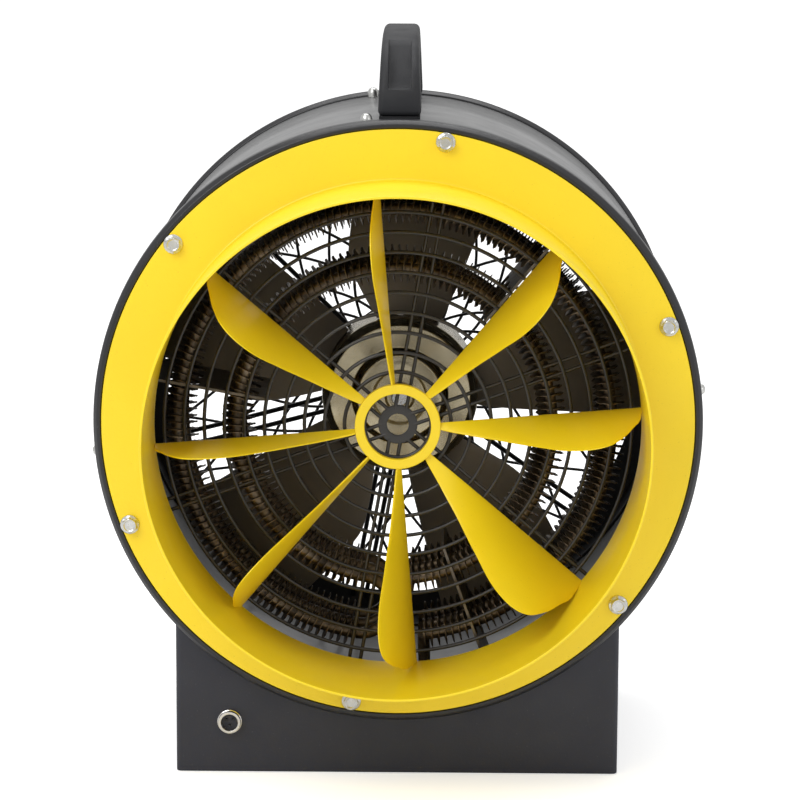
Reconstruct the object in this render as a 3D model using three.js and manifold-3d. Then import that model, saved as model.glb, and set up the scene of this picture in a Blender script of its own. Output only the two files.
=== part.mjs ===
// A portable forced air heater: a rolled steel drum on a box base, with a fan and three
// finned heating elements inside, and a bolted outlet collar with eight guide vanes.
// Millimetres. +Z is up, -Y is the outlet side. The origin is at the middle of the base's underside.
import * as THREE from "three";
import { mergeVertices } from "three/addons/utils/BufferGeometryUtils.js";
import Module from "manifold-3d";

const wasm = await Module();
wasm.setup();

// ---- Driving dimensions ----

// Clearances
const seatGap = 0.3; // between pieces that rest on or fit in each other
const runningGap = 2; // round the turning rotor

// Drum and end rings
const drumRadius = 226; // outside of the rolled sheet
const drumLift = 51; // between the floor and the drum sheet
const drumWall = 2;
const drumLength = 308; // over both end rings
const drumSides = 40;
const rimProud = 4; // how far a rim stands out beyond the drum sheet
const rimDepth = 15.7; // along the drum
// Outside of a rim from its inner edge to its face: inward of its widest place, share of its depth
const rimSection = [
  [2.4, 0],
  [0, 0.28],
  [0.6, 0.74],
  [3.6, 1],
];
const ringSkirt = 20; // part of an end ring inside the drum
const ringWall = 2;
const ringLip = 21; // inward flange of an end ring
const lipSetback = 2.3; // flange face behind the rim's edge

// Outlet collar and guide vanes
const collarRadius = 183; // bore
const collarWall = 2;
const collarLength = 105; // forward of its flange
const flangeThickness = 2;
const vaneCount = 8;
const vaneFirstAngle = -4.7; // degrees clockwise from the top, seen from the outlet
const vaneThickness = 1.5;
const vaneChord = 90; // widest part of a leaf, forward of its rear edge
const vaneTwists = [-4.3, 9.9, 6.3, 21.9, 15, 13.6, 2.6, -8.8]; // degrees, each leaf is set by hand
const vaneRootTwists = [-14.7, 39, 49, 63, 22, 8.6, -30, -50]; // added at a leaf's root
const vaneStations = 20; // steps along a leaf
// Shares of the span and of the widest chord along a leaf's front edge
const vaneEdge = [
  [0, 0.066],
  [0.15, 0.176],
  [0.3, 0.342],
  [0.45, 0.592],
  [0.6, 0.88],
  [0.72, 1],
  [0.82, 0.954],
  [0.9, 0.738],
  [0.95, 0.507],
  [0.985, 0.346],
  [1, 0.113],
];
const hubRingRadius = 32.3;
const hubRingBore = 25;
const hubRingLength = 6;

// Outlet bolts, M6 with a washer face
const outletBoltCount = 6;
const outletBoltInset = 9.7; // bolt circle inside the drum's surface
const outletBoltFirstAngle = 9.2;
const boltShank = 6;
const boltWasher = 14.5;
const boltWasherHeight = 1.6;
const boltHeadFlats = 10;
const boltHeadHeight = 4.6;
const boltReach = 12;
const holeClearance = 0.6; // hole diameter over shank diameter

// Screws that hold the end rings to the drum
const ringScrewAngles = [-6.2, 83.8, -96.2]; // degrees; the base covers the fourth side
const ringScrewShank = 4.5;
const ringScrewHead = 9;
const ringScrewHeadHeight = 8;
const ringScrewReach = 7;
const ringScrewInset = 11; // screw axis behind the rim's inner edge

// Handle
const handleLength = 246;
const handleHeight = 61;
const handleFootWidth = 32.8;
const handleTopWidth = 27.6;
const handleLegLength = 40; // fore and aft, at the foot
const handleGripDepth = 22;
const handleArch = 3; // power of the arch's curve, 2 for an ellipse
const handlePlateThickness = 3.5;
const handlePlateInset = 1;
const handleRecessWidth = 17.3;
const handleRecessHeight = 30;
const handleRecessDepth = 10; // fore and aft, at its bottom
const handleRecessLean = 27; // fore and aft, by which its floor leans back
const handleRecessRise = 20; // recess bottom above the handle's foot
const handleScrewShank = 6;
const handleScrewHead = 11;
const handleScrewHeadHeight = 4;
const handleScrewGrip = 16; // thread length inside the handle
const handleScrewInset = 26; // from the handle's end

// Front guard
const wireThickness = 2.8;
const wireSink = 0.6; // share of a wire's thickness by which crossing wires are offset
const guardRingPitch = 15.1;
const guardFirstRing = 25.1; // radius
const guardDiscRadius = 14.8;
const guardDiscBore = 8.2;
const guardDiscThickness = 2;
const spokePairs = 6;
const spokeFirstAngle = 10;
const spokeSpread = 7.5; // between the two wires of a pair

// Heating elements
const elementCount = 3;
const elementSetback = 26; // first element behind the front of the rim
const elementPitch = 30;
const finDiameter = 22;
const rodDiameter = 9;
const outerTurnRadius = 165;
const innerTurnRadius = 120;
const outerTurnStart = 172; // degrees clockwise from the top
const innerTurnStart = 174;
const hairpinAngle = 190; // where the outer turn bends back into the inner one
const terminalReach = 26; // terminals outside the drum
const terminalSpread = 24; // between the two terminals of an element
const terminalSetback = 22; // terminals behind the plane of their element
const kneeDepth = 26; // bend of a terminal inside the drum's surface
const bracketCount = 3;
const bracketFirstAngle = 40;
const bracketWidth = 14;
const bracketThickness = 2;
const bracketFoot = 12;
const bracketSlack = 4.4; // notch diameter over fin diameter
const bracketToe = 8; // bracket inside the inner turn

// Fan
const fanSetback = 159; // fan's middle plane behind the front of the rim
const bladeCount = 5;
const bladeFirstAngle = 6;
const bladeTipGap = 24; // between the blades' tips and the drum sheet
const bladeSpan = 21; // half the angle a blade covers at its tip
const bladeRootWidth = 54;
const bladePitch = 24; // degrees out of the fan's plane
const bladeThickness = 2;
const bladeBelly = 0.6; // share of the tip radius at which a blade's edges bulge
const bladeLeadBulge = 0.32; // the same, sideways
const bladeTrailBulge = 0.3;
const rotorRadius = 62;
const rotorFront = 26; // rotor face in front of the fan's middle plane
const rotorRear = 36;
const rotorWall = 4;
const rotorBossRadius = 14;
const rotorBossLength = 22;
const rotorEdge = 6; // chamfer of the rotor's front
const rotorStep = 9; // depth of the rotor's raised middle
const rotorStepRadius = 38;
const rotorStepSlope = 4;

// Motor
const shaftRadius = 6;
const bearingGap = 0.3;
const statorLength = 42;
const motorFlangeRadius = 52;
const motorFlangeThickness = 8;
const motorShoulder = 8; // slope between the flange and the stator
const mountRodDiameter = 4;
const mountPlateThickness = 4;
const mountTabLength = 14;
const mountTabWidth = 16;
const mountTabThickness = 3;
const mountRodSpread = 11;
const mountRodInset = 8; // rod ends inside the plate's edge

// Rear guard
const rearWire = 3.4;
const rearGuardCurves = 12; // wires that curve each way
const rearGuardSweep = 46; // degrees that a curved wire turns
const rearGuardBend = [0.42, 0.62]; // share of the way out, and of the turn, at a wire's middle
const rearGuardInner = 48; // radius of the inner ring

// Base
const baseWidth = 341;
const baseSetback = 23; // front and rear panels behind the rims' faces
const baseWall = 2;
const baseCornerRadius = 4;
const baseLip = 14; // turned in above the bottom plate
const saddleDepth = 14; // flange that follows the drum
const plateThickness = 2;

// Sensor socket in the front panel
const socketInset = 41.5; // from the base's side
const socketZ = 40.3;
const socketFlange = 19;
const socketFlangeHeight = 5.5;
const socketBarrel = 15.6;
const socketBarrelLength = 16; // behind the panel
const socketBore = 13;
const socketBoreDepth = 8;
const socketEdge = 0.8; // chamfer of the flange
const pinDiameter = 1.6;
const pinLength = 4.5;
const pinCircle = 6.4; // diameter
const pinCount = 3;

// Controls in the rear panel
const selectorInset = 52.5; // from the base's side
const selectorZ = 42;
const selectorDiameter = 42;
const thermostatSpacing = 56; // from the selector
const thermostatZ = 31;
const thermostatDiameter = 34;
const knobHeight = 18;
const knobSkirt = 4; // height of the knob's wide foot
const knobStandoff = 1; // between knob and panel
const knobSlope = [3, 2]; // inward and up, above the skirt
const knobGripWidth = 0.22; // share of the knob's diameter
const knobGripLength = 0.88; // share of the knob's diameter
const spindleDiameter = 6;
const spindleReach = 10; // behind the panel
const selectorBody = 45;
const selectorBodyDepth = 42;
const thermostatBody = 32;
const thermostatBodyDepth = 26;
const buttonSpacing = 48; // from the thermostat
const buttonZ = 25;
const buttonDiameter = 11;
const buttonLength = 22;
const buttonProud = 7; // outside the panel
const buttonTravel = 3;
const buttonCollar = 16; // diameter of the stop collar inside
const buttonCollarLength = 4;
const buttonEdge = 1; // chamfer of the button
const cutoutBody = 24;
const cutoutDepth = 26;

// Supply inlet in the rear panel
const inletInset = 42.5; // from the base's side
const inletZ = 37;
const inletFlange = 64;
const inletFlangeThickness = 5;
const inletBarrel = 54;
const inletBarrelLength = 38;
const inletWall = 3;
const inletFloor = 6;
const inletPinCount = 5;
const inletPin = 5;
const inletPinCircle = 30; // diameter
const inletPinLength = 26;
const inletBack = 46; // body inside the base

// Terminal block on the bottom plate
const blockLength = 96;
const blockWidth = 26;
const blockHeight = 18;
const blockWays = 6;
const blockWayWidth = 12;
const blockX = 12;

// Screw heads
const screwUpright = 0.35; // share of a pan head's height that is upright
const screwFlat = 0.6; // share of a pan head's width that is flat

// Cutting tools and joints between parts of one piece
const toolReach = 12; // how far a cutting tool runs past the wall that it cuts
const overlap = 1; // by which parts of one piece run into each other

// ---- Materials ----

const paint = (color, roughness, metalness) =>
  new THREE.MeshStandardMaterial({ color, roughness, metalness });
const yellowPaint = paint(0xf7d82c, 0.4, 0);
const blackPaint = paint(0x2b2b2d, 0.35, 0.1);
const charcoalPaint = paint(0x3a3a3e, 0.5, 0.1);
const zinc = paint(0xc4c6c4, 0.35, 0.9);
const aluminium = paint(0xb9b6ae, 0.3, 0.9);
const bladePaint = paint(0x3c3733, 0.5, 0.3);
const guardPaint = paint(0x1e1e20, 0.45, 0.2);
const elementSteel = paint(0x4b3d31, 0.45, 0.7);
const castIron = paint(0x4a4c4e, 0.6, 0.6);
const blackPlastic = paint(0x3b3c3f, 0.6, 0);
const cream = paint(0xd9d2bd, 0.5, 0);
const redPlastic = paint(0xb3261e, 0.4, 0);

// ---- Small tools ----

const radians = THREE.MathUtils.degToRad;

// A closed geometry as a solid that can be joined and cut.
function solid(geometry) {
  const bare = geometry.clone();
  bare.deleteAttribute("normal");
  bare.deleteAttribute("uv");
  const merged = mergeVertices(bare, 1e-4);
  return new wasm.Manifold(
    new wasm.Mesh({
      numProp: 3,
      vertProperties: new Float32Array(merged.attributes.position.array),
      triVerts: new Uint32Array(merged.index.array),
    }),
  );
}

// A solid back as a geometry.
function geometryOf(shape) {
  const mesh = shape.getMesh();
  const geometry = new THREE.BufferGeometry();
  geometry.setAttribute("position", new THREE.BufferAttribute(mesh.vertProperties, 3));
  geometry.setIndex(new THREE.BufferAttribute(mesh.triVerts, 1));
  geometry.computeVertexNormals();
  return geometry;
}

const join = (solids) => solids.reduce((whole, piece) => whole.add(piece));
const cut = (whole, tools) => tools.reduce((left, tool) => left.subtract(tool), whole);

// A named mesh from a geometry or a solid, added to a group.
function place(group, name, shape, material) {
  const mesh = new THREE.Mesh(shape.isBufferGeometry ? shape : geometryOf(shape), material);
  mesh.name = name;
  group.add(mesh);
  return mesh;
}

// A box by its lowest and highest corners.
function block([x0, y0, z0], [x1, y1, z1]) {
  const geometry = new THREE.BoxGeometry(x1 - x0, y1 - y0, z1 - z0);
  geometry.translate((x0 + x1) / 2, (y0 + y1) / 2, (z0 + z1) / 2);
  return geometry;
}

// A closed profile of [radius, height] points, outer side going up, turned about Z.
function turned(profile, sides) {
  const points = profile.map(([radius, height]) => new THREE.Vector2(radius, height));
  if (profile[0][0] > 0) points.push(points[0].clone());
  return new THREE.LatheGeometry(points, sides).rotateX(Math.PI / 2);
}

// A cylinder along Z from z0 to z1.
function rod(radius, z0, z1, sides = 12, x = 0, y = 0) {
  const geometry = new THREE.CylinderGeometry(radius, radius, z1 - z0, sides);
  return geometry.rotateX(Math.PI / 2).translate(x, y, (z0 + z1) / 2);
}

// A round bar between two points.
function bar(from, to, diameter, sides = 6) {
  const along = new THREE.Vector3().subVectors(to, from);
  const geometry = new THREE.CylinderGeometry(diameter / 2, diameter / 2, along.length(), sides);
  const turn = new THREE.Quaternion().setFromUnitVectors(
    new THREE.Vector3(0, 1, 0),
    along.clone().normalize(),
  );
  return geometry.applyQuaternion(turn).translate(...from.clone().addScaledVector(along, 0.5));
}

// A bar of square or round section swept along a curve.
function swept(curve, diameter, sides, steps) {
  const section = new THREE.Shape();
  for (let i = 0; i < sides; i++) {
    const angle = ((i + 0.5) * 2 * Math.PI) / sides;
    const point = [(diameter / 2) * Math.cos(angle), (diameter / 2) * Math.sin(angle)];
    if (i === 0) section.moveTo(...point);
    else section.lineTo(...point);
  }
  return new THREE.ExtrudeGeometry(section, { steps, extrudePath: curve, bevelEnabled: false });
}

// A ring of round wire in the plane z; wireSides are the corners of the wire's section.
function wireRing(radius, diameter, z, sides, wireSides) {
  const profile = [];
  for (let i = 0; i < wireSides; i++) {
    const angle = (i * 2 * Math.PI) / wireSides;
    profile.push([
      radius + (diameter / 2) * Math.cos(angle),
      z + (diameter / 2) * Math.sin(angle),
    ]);
  }
  return turned(profile, sides);
}

// The point at a radius and a clockwise angle from the top, seen from the outlet.
function clockPoint(radius, degrees, z = 0) {
  const angle = radians(degrees);
  return new THREE.Vector3(radius * Math.sin(angle), radius * Math.cos(angle), z);
}

// Turns a geometry clockwise about the axis, seen from the outlet.
const clockwise = (geometry, degrees) => geometry.rotateZ(-radians(degrees));

// ---- Frames ----

const heater = new THREE.Group();
const axisHeight = drumLift + drumRadius; // drum axis above the floor

// Along the drum: local Z runs from the fan to the outlet, local Y is up, the middle is at 0.
const airway = new THREE.Group();
airway.position.z = axisHeight;
airway.rotation.x = Math.PI / 2;
heater.add(airway);

// Places along the drum's axis, all worked out from the driving dimensions
const rimFace = drumLength / 2;
const flangeFace = rimFace - lipSetback;
const guardPlane = flangeFace - ringWall - seatGap;
const collarFace = flangeFace + seatGap + flangeThickness;
const fanPlane = rimFace - fanSetback;
const facet = Math.cos(Math.PI / drumSides); // flat of a faceted ring over its corner
const ringScrewPlane = rimFace - rimDepth - ringScrewInset;
const shellEnd = rimFace - rimDepth - seatGap;
const outletBoltRadius = drumRadius - outletBoltInset;

// ---- Fasteners ----

// A hexagon bolt along Z with its seat at z = 0 and its shank below.
function hexBolt() {
  const washer = rod(boltWasher / 2, 0, boltWasherHeight, 16);
  const hexRadius = boltHeadFlats / 2 / Math.cos(Math.PI / 6);
  const hex = rod(hexRadius, 0, boltWasherHeight + boltHeadHeight, 6);
  const shank = rod(boltShank / 2, -boltReach, boltWasherHeight, 8);
  return join([solid(washer), solid(hex), solid(shank)]);
}

// A pan head screw along Z with its seat at z = 0 and its shank below.
function panScrew(head, headHeight, shank, reach) {
  const dome = turned(
    [
      [0, 0],
      [head / 2, 0],
      [head / 2, headHeight * screwUpright],
      [(head / 2) * screwFlat, headHeight],
      [0, headHeight],
    ],
    10,
  );
  return join([solid(dome), solid(rod(shank / 2, -reach, headHeight * 0.5, 8))]);
}

// ---- Drum ----

// Places where the heating elements' terminals pass through the drum
const elementPlane = (index) => rimFace - elementSetback - index * elementPitch;
const terminalXs = [0, terminalSpread];

const handleScrewPlaces = [1, -1].map((end) => end * (handleLength / 2 - handleScrewInset));

// Radial holes for the screws of both end rings.
function ringScrewHoles(planes) {
  const holes = [];
  for (const plane of planes) {
    for (const angle of ringScrewAngles) {
      const from = clockPoint(drumRadius - toolReach, angle, plane);
      const to = clockPoint(drumRadius + toolReach, angle, plane);
      holes.push(solid(bar(from, to, ringScrewShank + holeClearance, 8)));
    }
  }
  return holes;
}

function drumShell() {
  const inner = drumRadius - drumWall;
  const tube = turned(
    [
      [inner, -shellEnd],
      [drumRadius, -shellEnd],
      [drumRadius, shellEnd],
      [inner, shellEnd],
    ],
    drumSides,
  );
  const holes = ringScrewHoles([ringScrewPlane, -ringScrewPlane]);
  for (const z of handleScrewPlaces) {
    const top = new THREE.Vector3(0, drumRadius + toolReach, z);
    const under = new THREE.Vector3(0, drumRadius - toolReach, z);
    holes.push(solid(bar(under, top, handleScrewShank + holeClearance, 8)));
  }
  for (let i = 0; i < elementCount; i++) {
    for (const x of terminalXs) {
      const z = elementPlane(i) - terminalSetback;
      const from = new THREE.Vector3(x, toolReach - drumRadius, z);
      const to = new THREE.Vector3(x, -toolReach - drumRadius, z);
      holes.push(solid(bar(from, to, rodDiameter + 2 * seatGap, 8)));
    }
  }
  return cut(solid(tube), holes);
}

// An end ring with its rim towards +Z.
function endRing(boltHoles) {
  const skirtOuter = drumRadius - drumWall - seatGap;
  const skirtInner = skirtOuter - ringWall;
  const rim = drumRadius + rimProud;
  const step = rimFace - rimDepth;
  const body = turned(
    [
      [skirtInner, step - ringSkirt],
      [skirtOuter, step - ringSkirt],
      [skirtOuter, step],
      ...rimSection.map(([inward, along]) => [rim - inward, step + rimDepth * along]),
      [skirtOuter - seatGap, rimFace],
      [skirtOuter - seatGap, flangeFace],
      [skirtInner - ringLip, flangeFace],
      [skirtInner - ringLip, flangeFace - ringWall],
      [skirtInner, flangeFace - ringWall],
    ],
    drumSides,
  );
  return cut(solid(body), [...ringScrewHoles([ringScrewPlane]), ...boltHoles]);
}

const outletBoltAngle = (index) => outletBoltFirstAngle + (index * 360) / outletBoltCount;

function outletBoltHoles() {
  const holes = [];
  for (let i = 0; i < outletBoltCount; i++) {
    const { x, y } = clockPoint(outletBoltRadius, outletBoltAngle(i));
    const radius = (boltShank + holeClearance) / 2;
    holes.push(solid(rod(radius, flangeFace - toolReach, collarFace + toolReach, 8, x, y)));
  }
  return holes;
}

place(airway, "drum_shell", drumShell(), charcoalPaint);
place(airway, "front_end_ring", endRing(outletBoltHoles()), blackPaint);
const rearRing = place(airway, "rear_end_ring", endRing([]), blackPaint);
rearRing.scale.z = -1;

for (const [end, side] of [
  ["front", 1],
  ["rear", -1],
]) {
  ringScrewAngles.forEach((angle, i) => {
    const screw = panScrew(ringScrewHead, ringScrewHeadHeight, ringScrewShank, ringScrewReach);
    const mesh = place(airway, `${end}_ring_screw_${i + 1}`, screw, zinc);
    mesh.geometry.rotateX(-Math.PI / 2).translate(0, drumRadius + seatGap, 0);
    clockwise(mesh.geometry, angle);
    mesh.position.z = side * ringScrewPlane;
  });
}

// ---- Outlet collar, hub ring and guide vanes ----

const flangeRadius = drumRadius - drumWall - 3 * seatGap;

function outletCollar() {
  const outer = collarRadius + collarWall;
  const body = turned(
    [
      [collarRadius, collarFace - flangeThickness],
      [flangeRadius, collarFace - flangeThickness],
      [flangeRadius, collarFace],
      [outer, collarFace],
      [outer, collarFace + collarLength],
      [collarRadius, collarFace + collarLength],
    ],
    drumSides,
  );
  return cut(solid(body), outletBoltHoles());
}

// A twisted leaf: straight rear edge, curved front edge. Y runs outward, Z forward.
function vaneLeaf(twist, rootTwist) {
  const inner = hubRingRadius + seatGap;
  const span = collarRadius * facet - seatGap - inner;
  const front = new THREE.SplineCurve(
    vaneEdge.map(([along, chord]) => new THREE.Vector2(along, chord * vaneChord)),
  ).getPoints(vaneStations);
  const positions = [];
  const triangles = [];
  front.forEach((edge, station) => {
    const lean = radians(twist + rootTwist * (1 - edge.x) ** 3);
    const section = [
      [-vaneThickness / 2, 0],
      [vaneThickness / 2, 0],
      [vaneThickness / 2, edge.y],
      [-vaneThickness / 2, edge.y],
    ];
    for (const [across, forward] of section) {
      const x = across * Math.cos(lean) + forward * Math.sin(lean);
      const z = forward * Math.cos(lean) - across * Math.sin(lean);
      positions.push(x, inner + edge.x * span, z);
    }
    if (station === vaneStations) return;
    for (let k = 0; k < 4; k++) {
      const here = station * 4 + k;
      const next = station * 4 + ((k + 1) % 4);
      triangles.push(here, here + 4, next + 4, here, next + 4, next);
    }
  });
  const last = vaneStations * 4;
  triangles.push(0, 1, 2, 0, 2, 3, last, last + 2, last + 1, last, last + 3, last + 2);
  const leaf = new THREE.BufferGeometry();
  leaf.setAttribute("position", new THREE.Float32BufferAttribute(positions, 3));
  leaf.setIndex(triangles);
  leaf.computeVertexNormals();
  return leaf;
}

place(airway, "outlet_collar", outletCollar(), yellowPaint);
const hubRing = turned(
  [
    [hubRingBore, 0],
    [hubRingRadius, 0],
    [hubRingRadius, hubRingLength],
    [hubRingBore, hubRingLength],
  ],
  24,
);
hubRing.translate(0, 0, collarFace - flangeThickness);
place(airway, "vane_hub_ring", hubRing, yellowPaint);

for (let i = 0; i < vaneCount; i++) {
  const set = i % vaneTwists.length;
  const leaf = vaneLeaf(vaneTwists[set], vaneRootTwists[set]);
  const vane = place(airway, `guide_vane_${i + 1}`, leaf, yellowPaint);
  vane.position.z = collarFace - flangeThickness + vaneThickness;
  vane.rotation.z = -radians(vaneFirstAngle + (i * 360) / vaneCount);
}

for (let i = 0; i < outletBoltCount; i++) {
  const bolt = place(airway, `outlet_bolt_${i + 1}`, hexBolt(), zinc);
  bolt.position.copy(clockPoint(outletBoltRadius, outletBoltAngle(i)));
  bolt.position.z = collarFace + seatGap;
}

// ---- Handle ----

const drumPlug = solid(rod(1, -drumLength, drumLength, drumSides)).scale([
  drumRadius + seatGap,
  drumRadius + seatGap,
  1,
]);
const handleFoot = drumRadius + seatGap + handlePlateThickness;

// Points of an arch over a half length, from one foot to the other.
function archPoints(half, height, steps) {
  const power = 2 / handleArch;
  const points = [];
  for (let i = 0; i <= steps; i++) {
    const angle = Math.PI * (1 - i / steps);
    const along = Math.abs(Math.cos(angle)) ** power * Math.sign(Math.cos(angle));
    points.push(new THREE.Vector2(half * along, height * Math.sin(angle) ** power));
  }
  return points;
}

// A side view of the handle as a body: X runs fore and aft, Y up from its foot.
function handleSlice(points, width) {
  const side = new THREE.Shape(points);
  const body = new THREE.ExtrudeGeometry(side, { depth: width, bevelEnabled: false });
  return body.translate(0, 0, -width / 2);
}

function handleBody() {
  const half = handleLength / 2;
  const outside = archPoints(half, handleHeight, 30);
  const inside = archPoints(half - handleLegLength, handleHeight - handleGripDepth, 22);
  const body = handleSlice([...outside, ...inside.reverse()], handleFootWidth);
  // The sides lean in towards the top
  const points = body.attributes.position;
  for (let i = 0; i < points.count; i++) {
    const rise = points.getY(i) / handleHeight;
    const width = THREE.MathUtils.lerp(handleFootWidth, handleTopWidth, rise);
    points.setZ(i, (points.getZ(i) * width) / handleFootWidth);
  }
  body.rotateY(-Math.PI / 2).translate(0, handleFoot, 0);
  const tools = [];
  const bottom = handleRecessRise;
  const top = bottom + handleRecessHeight;
  const low = half - handleRecessDepth;
  const high = low - handleRecessLean;
  for (const end of [1, -1]) {
    const outline = [
      [half + overlap, bottom],
      [low, bottom],
      [high, top],
      [high + toolReach, top + toolReach],
      [half + overlap, top + toolReach],
    ].map(([along, rise]) => new THREE.Vector2(end * along, rise));
    const recess = handleSlice(outline, handleRecessWidth);
    tools.push(solid(recess.rotateY(-Math.PI / 2).translate(0, handleFoot, 0)));
  }
  for (const z of handleScrewPlaces) {
    const from = new THREE.Vector3(0, handleFoot - toolReach, z);
    const to = new THREE.Vector3(0, handleFoot + handleScrewGrip + overlap, z);
    tools.push(solid(bar(from, to, handleScrewShank + holeClearance, 8)));
  }
  return cut(solid(body), tools);
}

function handlePlate() {
  const half = handleFootWidth / 2 - handlePlateInset;
  const slab = block(
    [-half, drumRadius - toolReach, handlePlateInset - handleLength / 2],
    [half, handleFoot, handleLength / 2 - handlePlateInset],
  );
  const holes = handleScrewPlaces.map((z) => {
    const from = new THREE.Vector3(0, drumRadius - toolReach, z);
    const to = new THREE.Vector3(0, handleFoot + toolReach, z);
    return solid(bar(from, to, handleScrewShank + holeClearance, 8));
  });
  return cut(solid(slab), [drumPlug, ...holes]);
}

place(airway, "handle", handleBody(), blackPlastic);
place(airway, "handle_plate", handlePlate(), blackPaint);
const handleScrewSeat = (drumRadius - drumWall) * facet - seatGap;
handleScrewPlaces.forEach((z, i) => {
  const reach = handleFoot + handleScrewGrip - handleScrewSeat;
  const screw = panScrew(handleScrewHead, handleScrewHeadHeight, handleScrewShank, reach);
  const mesh = place(airway, `handle_screw_${i + 1}`, screw, zinc);
  mesh.rotation.x = Math.PI / 2;
  mesh.position.set(0, handleScrewSeat, z);
});

// ---- Guards ----

// Pairs of parallel spokes between two radii, one solid per wire.
function spokes(inner, outer, z) {
  const wires = [];
  for (let i = 0; i < spokePairs; i++) {
    for (const side of [-0.5, 0.5]) {
      const from = new THREE.Vector3(side * spokeSpread, inner, z);
      const to = new THREE.Vector3(side * spokeSpread, outer, z);
      const wire = bar(from, to, wireThickness, 4);
      wires.push(solid(clockwise(wire, spokeFirstAngle + (i * 360) / spokePairs)));
    }
  }
  return wires;
}

const ringSkirtInner = drumRadius - drumWall - seatGap - ringWall;
const ringOpening = ringSkirtInner - ringLip;

function frontGuard() {
  const outer = (ringOpening + ringSkirtInner) / 2 - wireThickness;
  const plane = guardPlane - wireThickness / 2;
  const spokePlane = plane - wireThickness * wireSink;
  const pieces = [];
  for (let radius = guardFirstRing; radius < outer - guardRingPitch / 2; radius += guardRingPitch) {
    const sides = radius < outer / 2 ? 16 : 20;
    pieces.push(solid(wireRing(radius, wireThickness, plane, sides, 3)));
  }
  pieces.push(solid(wireRing(outer, wireThickness, plane, drumSides, 3)));
  const disc = turned(
    [
      [guardDiscBore, 0],
      [guardDiscRadius, 0],
      [guardDiscRadius, guardDiscThickness],
      [guardDiscBore, guardDiscThickness],
    ],
    16,
  );
  pieces.push(solid(disc.translate(0, 0, spokePlane - guardDiscThickness / 2)));
  const from = (guardDiscBore + guardDiscRadius) / 2;
  return join([...pieces, ...spokes(from, outer, spokePlane)]);
}

// The rear guard lies outside the rear ring's flange: rings joined by wires that curve both ways.
function rearGuard() {
  const plane = -(flangeFace + seatGap + rearWire / 2);
  const outer = (ringOpening + ringSkirtInner) / 2;
  const pieces = [
    solid(wireRing(outer, rearWire, plane, drumSides, 4)),
    solid(wireRing(rearGuardInner, rearWire, plane, 20, 4)),
  ];
  for (let i = 0; i < rearGuardCurves; i++) {
    for (const way of [1, -1]) {
      const start = (i * 360) / rearGuardCurves;
      const middle = THREE.MathUtils.lerp(rearGuardInner, outer, rearGuardBend[0]);
      const z = way > 0 ? plane : plane - rearWire * wireSink;
      const line = new THREE.CatmullRomCurve3([
        clockPoint(rearGuardInner, start, z),
        clockPoint(middle, start + way * rearGuardSweep * rearGuardBend[1], z),
        clockPoint(outer, start + way * rearGuardSweep, z),
      ]);
      pieces.push(solid(swept(line, rearWire, 4, 4)));
    }
  }
  return join(pieces);
}

place(airway, "front_guard", frontGuard(), guardPaint);
place(airway, "rear_guard", rearGuard(), guardPaint);

// ---- Heating elements ----

// A tube along part of a circle, from one angle to another about a centre.
function tubeArc(centre, radius, from, to, diameter, steps) {
  const turn = new THREE.Curve();
  turn.getPoint = (t) => {
    const angle = THREE.MathUtils.lerp(from, to, t);
    return new THREE.Vector3(
      centre.x + radius * Math.cos(angle),
      centre.y + radius * Math.sin(angle),
      0,
    );
  };
  return solid(swept(turn, diameter, 6, steps));
}

// Finned outer turn, bare hairpin at the lower left, finned inner turn back, bare terminals.
function heatingElement() {
  const radiansFromX = (degrees) => radians(90 - degrees);
  const end = radiansFromX(hairpinAngle - 360);
  const axis = new THREE.Vector3(0, 0, 0);
  const middle = clockPoint((outerTurnRadius + innerTurnRadius) / 2, hairpinAngle);
  const bend = (outerTurnRadius - innerTurnRadius) / 2;
  const socket = 0.12; // radians by which the bare bend runs into the finned turns
  const outerStart = radiansFromX(outerTurnStart);
  const innerStart = radiansFromX(innerTurnStart);
  const pieces = [
    tubeArc(axis, outerTurnRadius, outerStart, end, finDiameter, 22),
    tubeArc(middle, bend, end - socket, end + Math.PI + socket, rodDiameter, 5),
    tubeArc(axis, innerTurnRadius, innerStart, end, finDiameter, 18),
  ];
  const starts = [
    clockPoint(innerTurnRadius, innerTurnStart),
    clockPoint(outerTurnRadius, outerTurnStart),
  ];
  starts.forEach((start, i) => {
    const knee = new THREE.Vector3(terminalXs[i], kneeDepth - drumRadius, -terminalSetback);
    const foot = new THREE.Vector3(terminalXs[i], -drumRadius - terminalReach, -terminalSetback);
    const elbow = knee.clone().add(new THREE.Vector3(0, rodDiameter / 4, 0));
    pieces.push(solid(bar(start, knee, rodDiameter, 8)));
    pieces.push(solid(bar(elbow, foot, rodDiameter, 8)));
  });
  return join(pieces);
}

for (let i = 0; i < elementCount; i++) {
  const element = place(airway, `heating_element_${i + 1}`, heatingElement(), elementSteel);
  element.position.z = elementPlane(i);
}

// ---- Element brackets ----

// A comb plate on edge, with a foot against the drum and round notches for the turns.
function elementBracket() {
  const front = elementPlane(0) + bracketWidth;
  const rear = elementPlane(elementCount - 1) - bracketWidth;
  const top = ringSkirtInner * facet - seatGap;
  const low = innerTurnRadius - finDiameter / 2 - bracketToe;
  const web = block([-bracketThickness / 2, low, rear], [bracketThickness / 2, top, front]);
  const foot = block([-bracketFoot, top - bracketThickness, rear], [bracketFoot, top, front]);
  const notches = [];
  for (let i = 0; i < elementCount; i++) {
    for (const radius of [innerTurnRadius, outerTurnRadius]) {
      const from = new THREE.Vector3(-bracketFoot, radius, elementPlane(i));
      const to = new THREE.Vector3(bracketFoot, radius, elementPlane(i));
      notches.push(solid(bar(from, to, finDiameter + bracketSlack, 10)));
    }
  }
  const reach = 2 * drumRadius;
  const inside = solid(rod(top / facet, -reach, reach, drumSides));
  return cut(join([solid(web), solid(foot)]).intersect(inside), notches);
}

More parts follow.
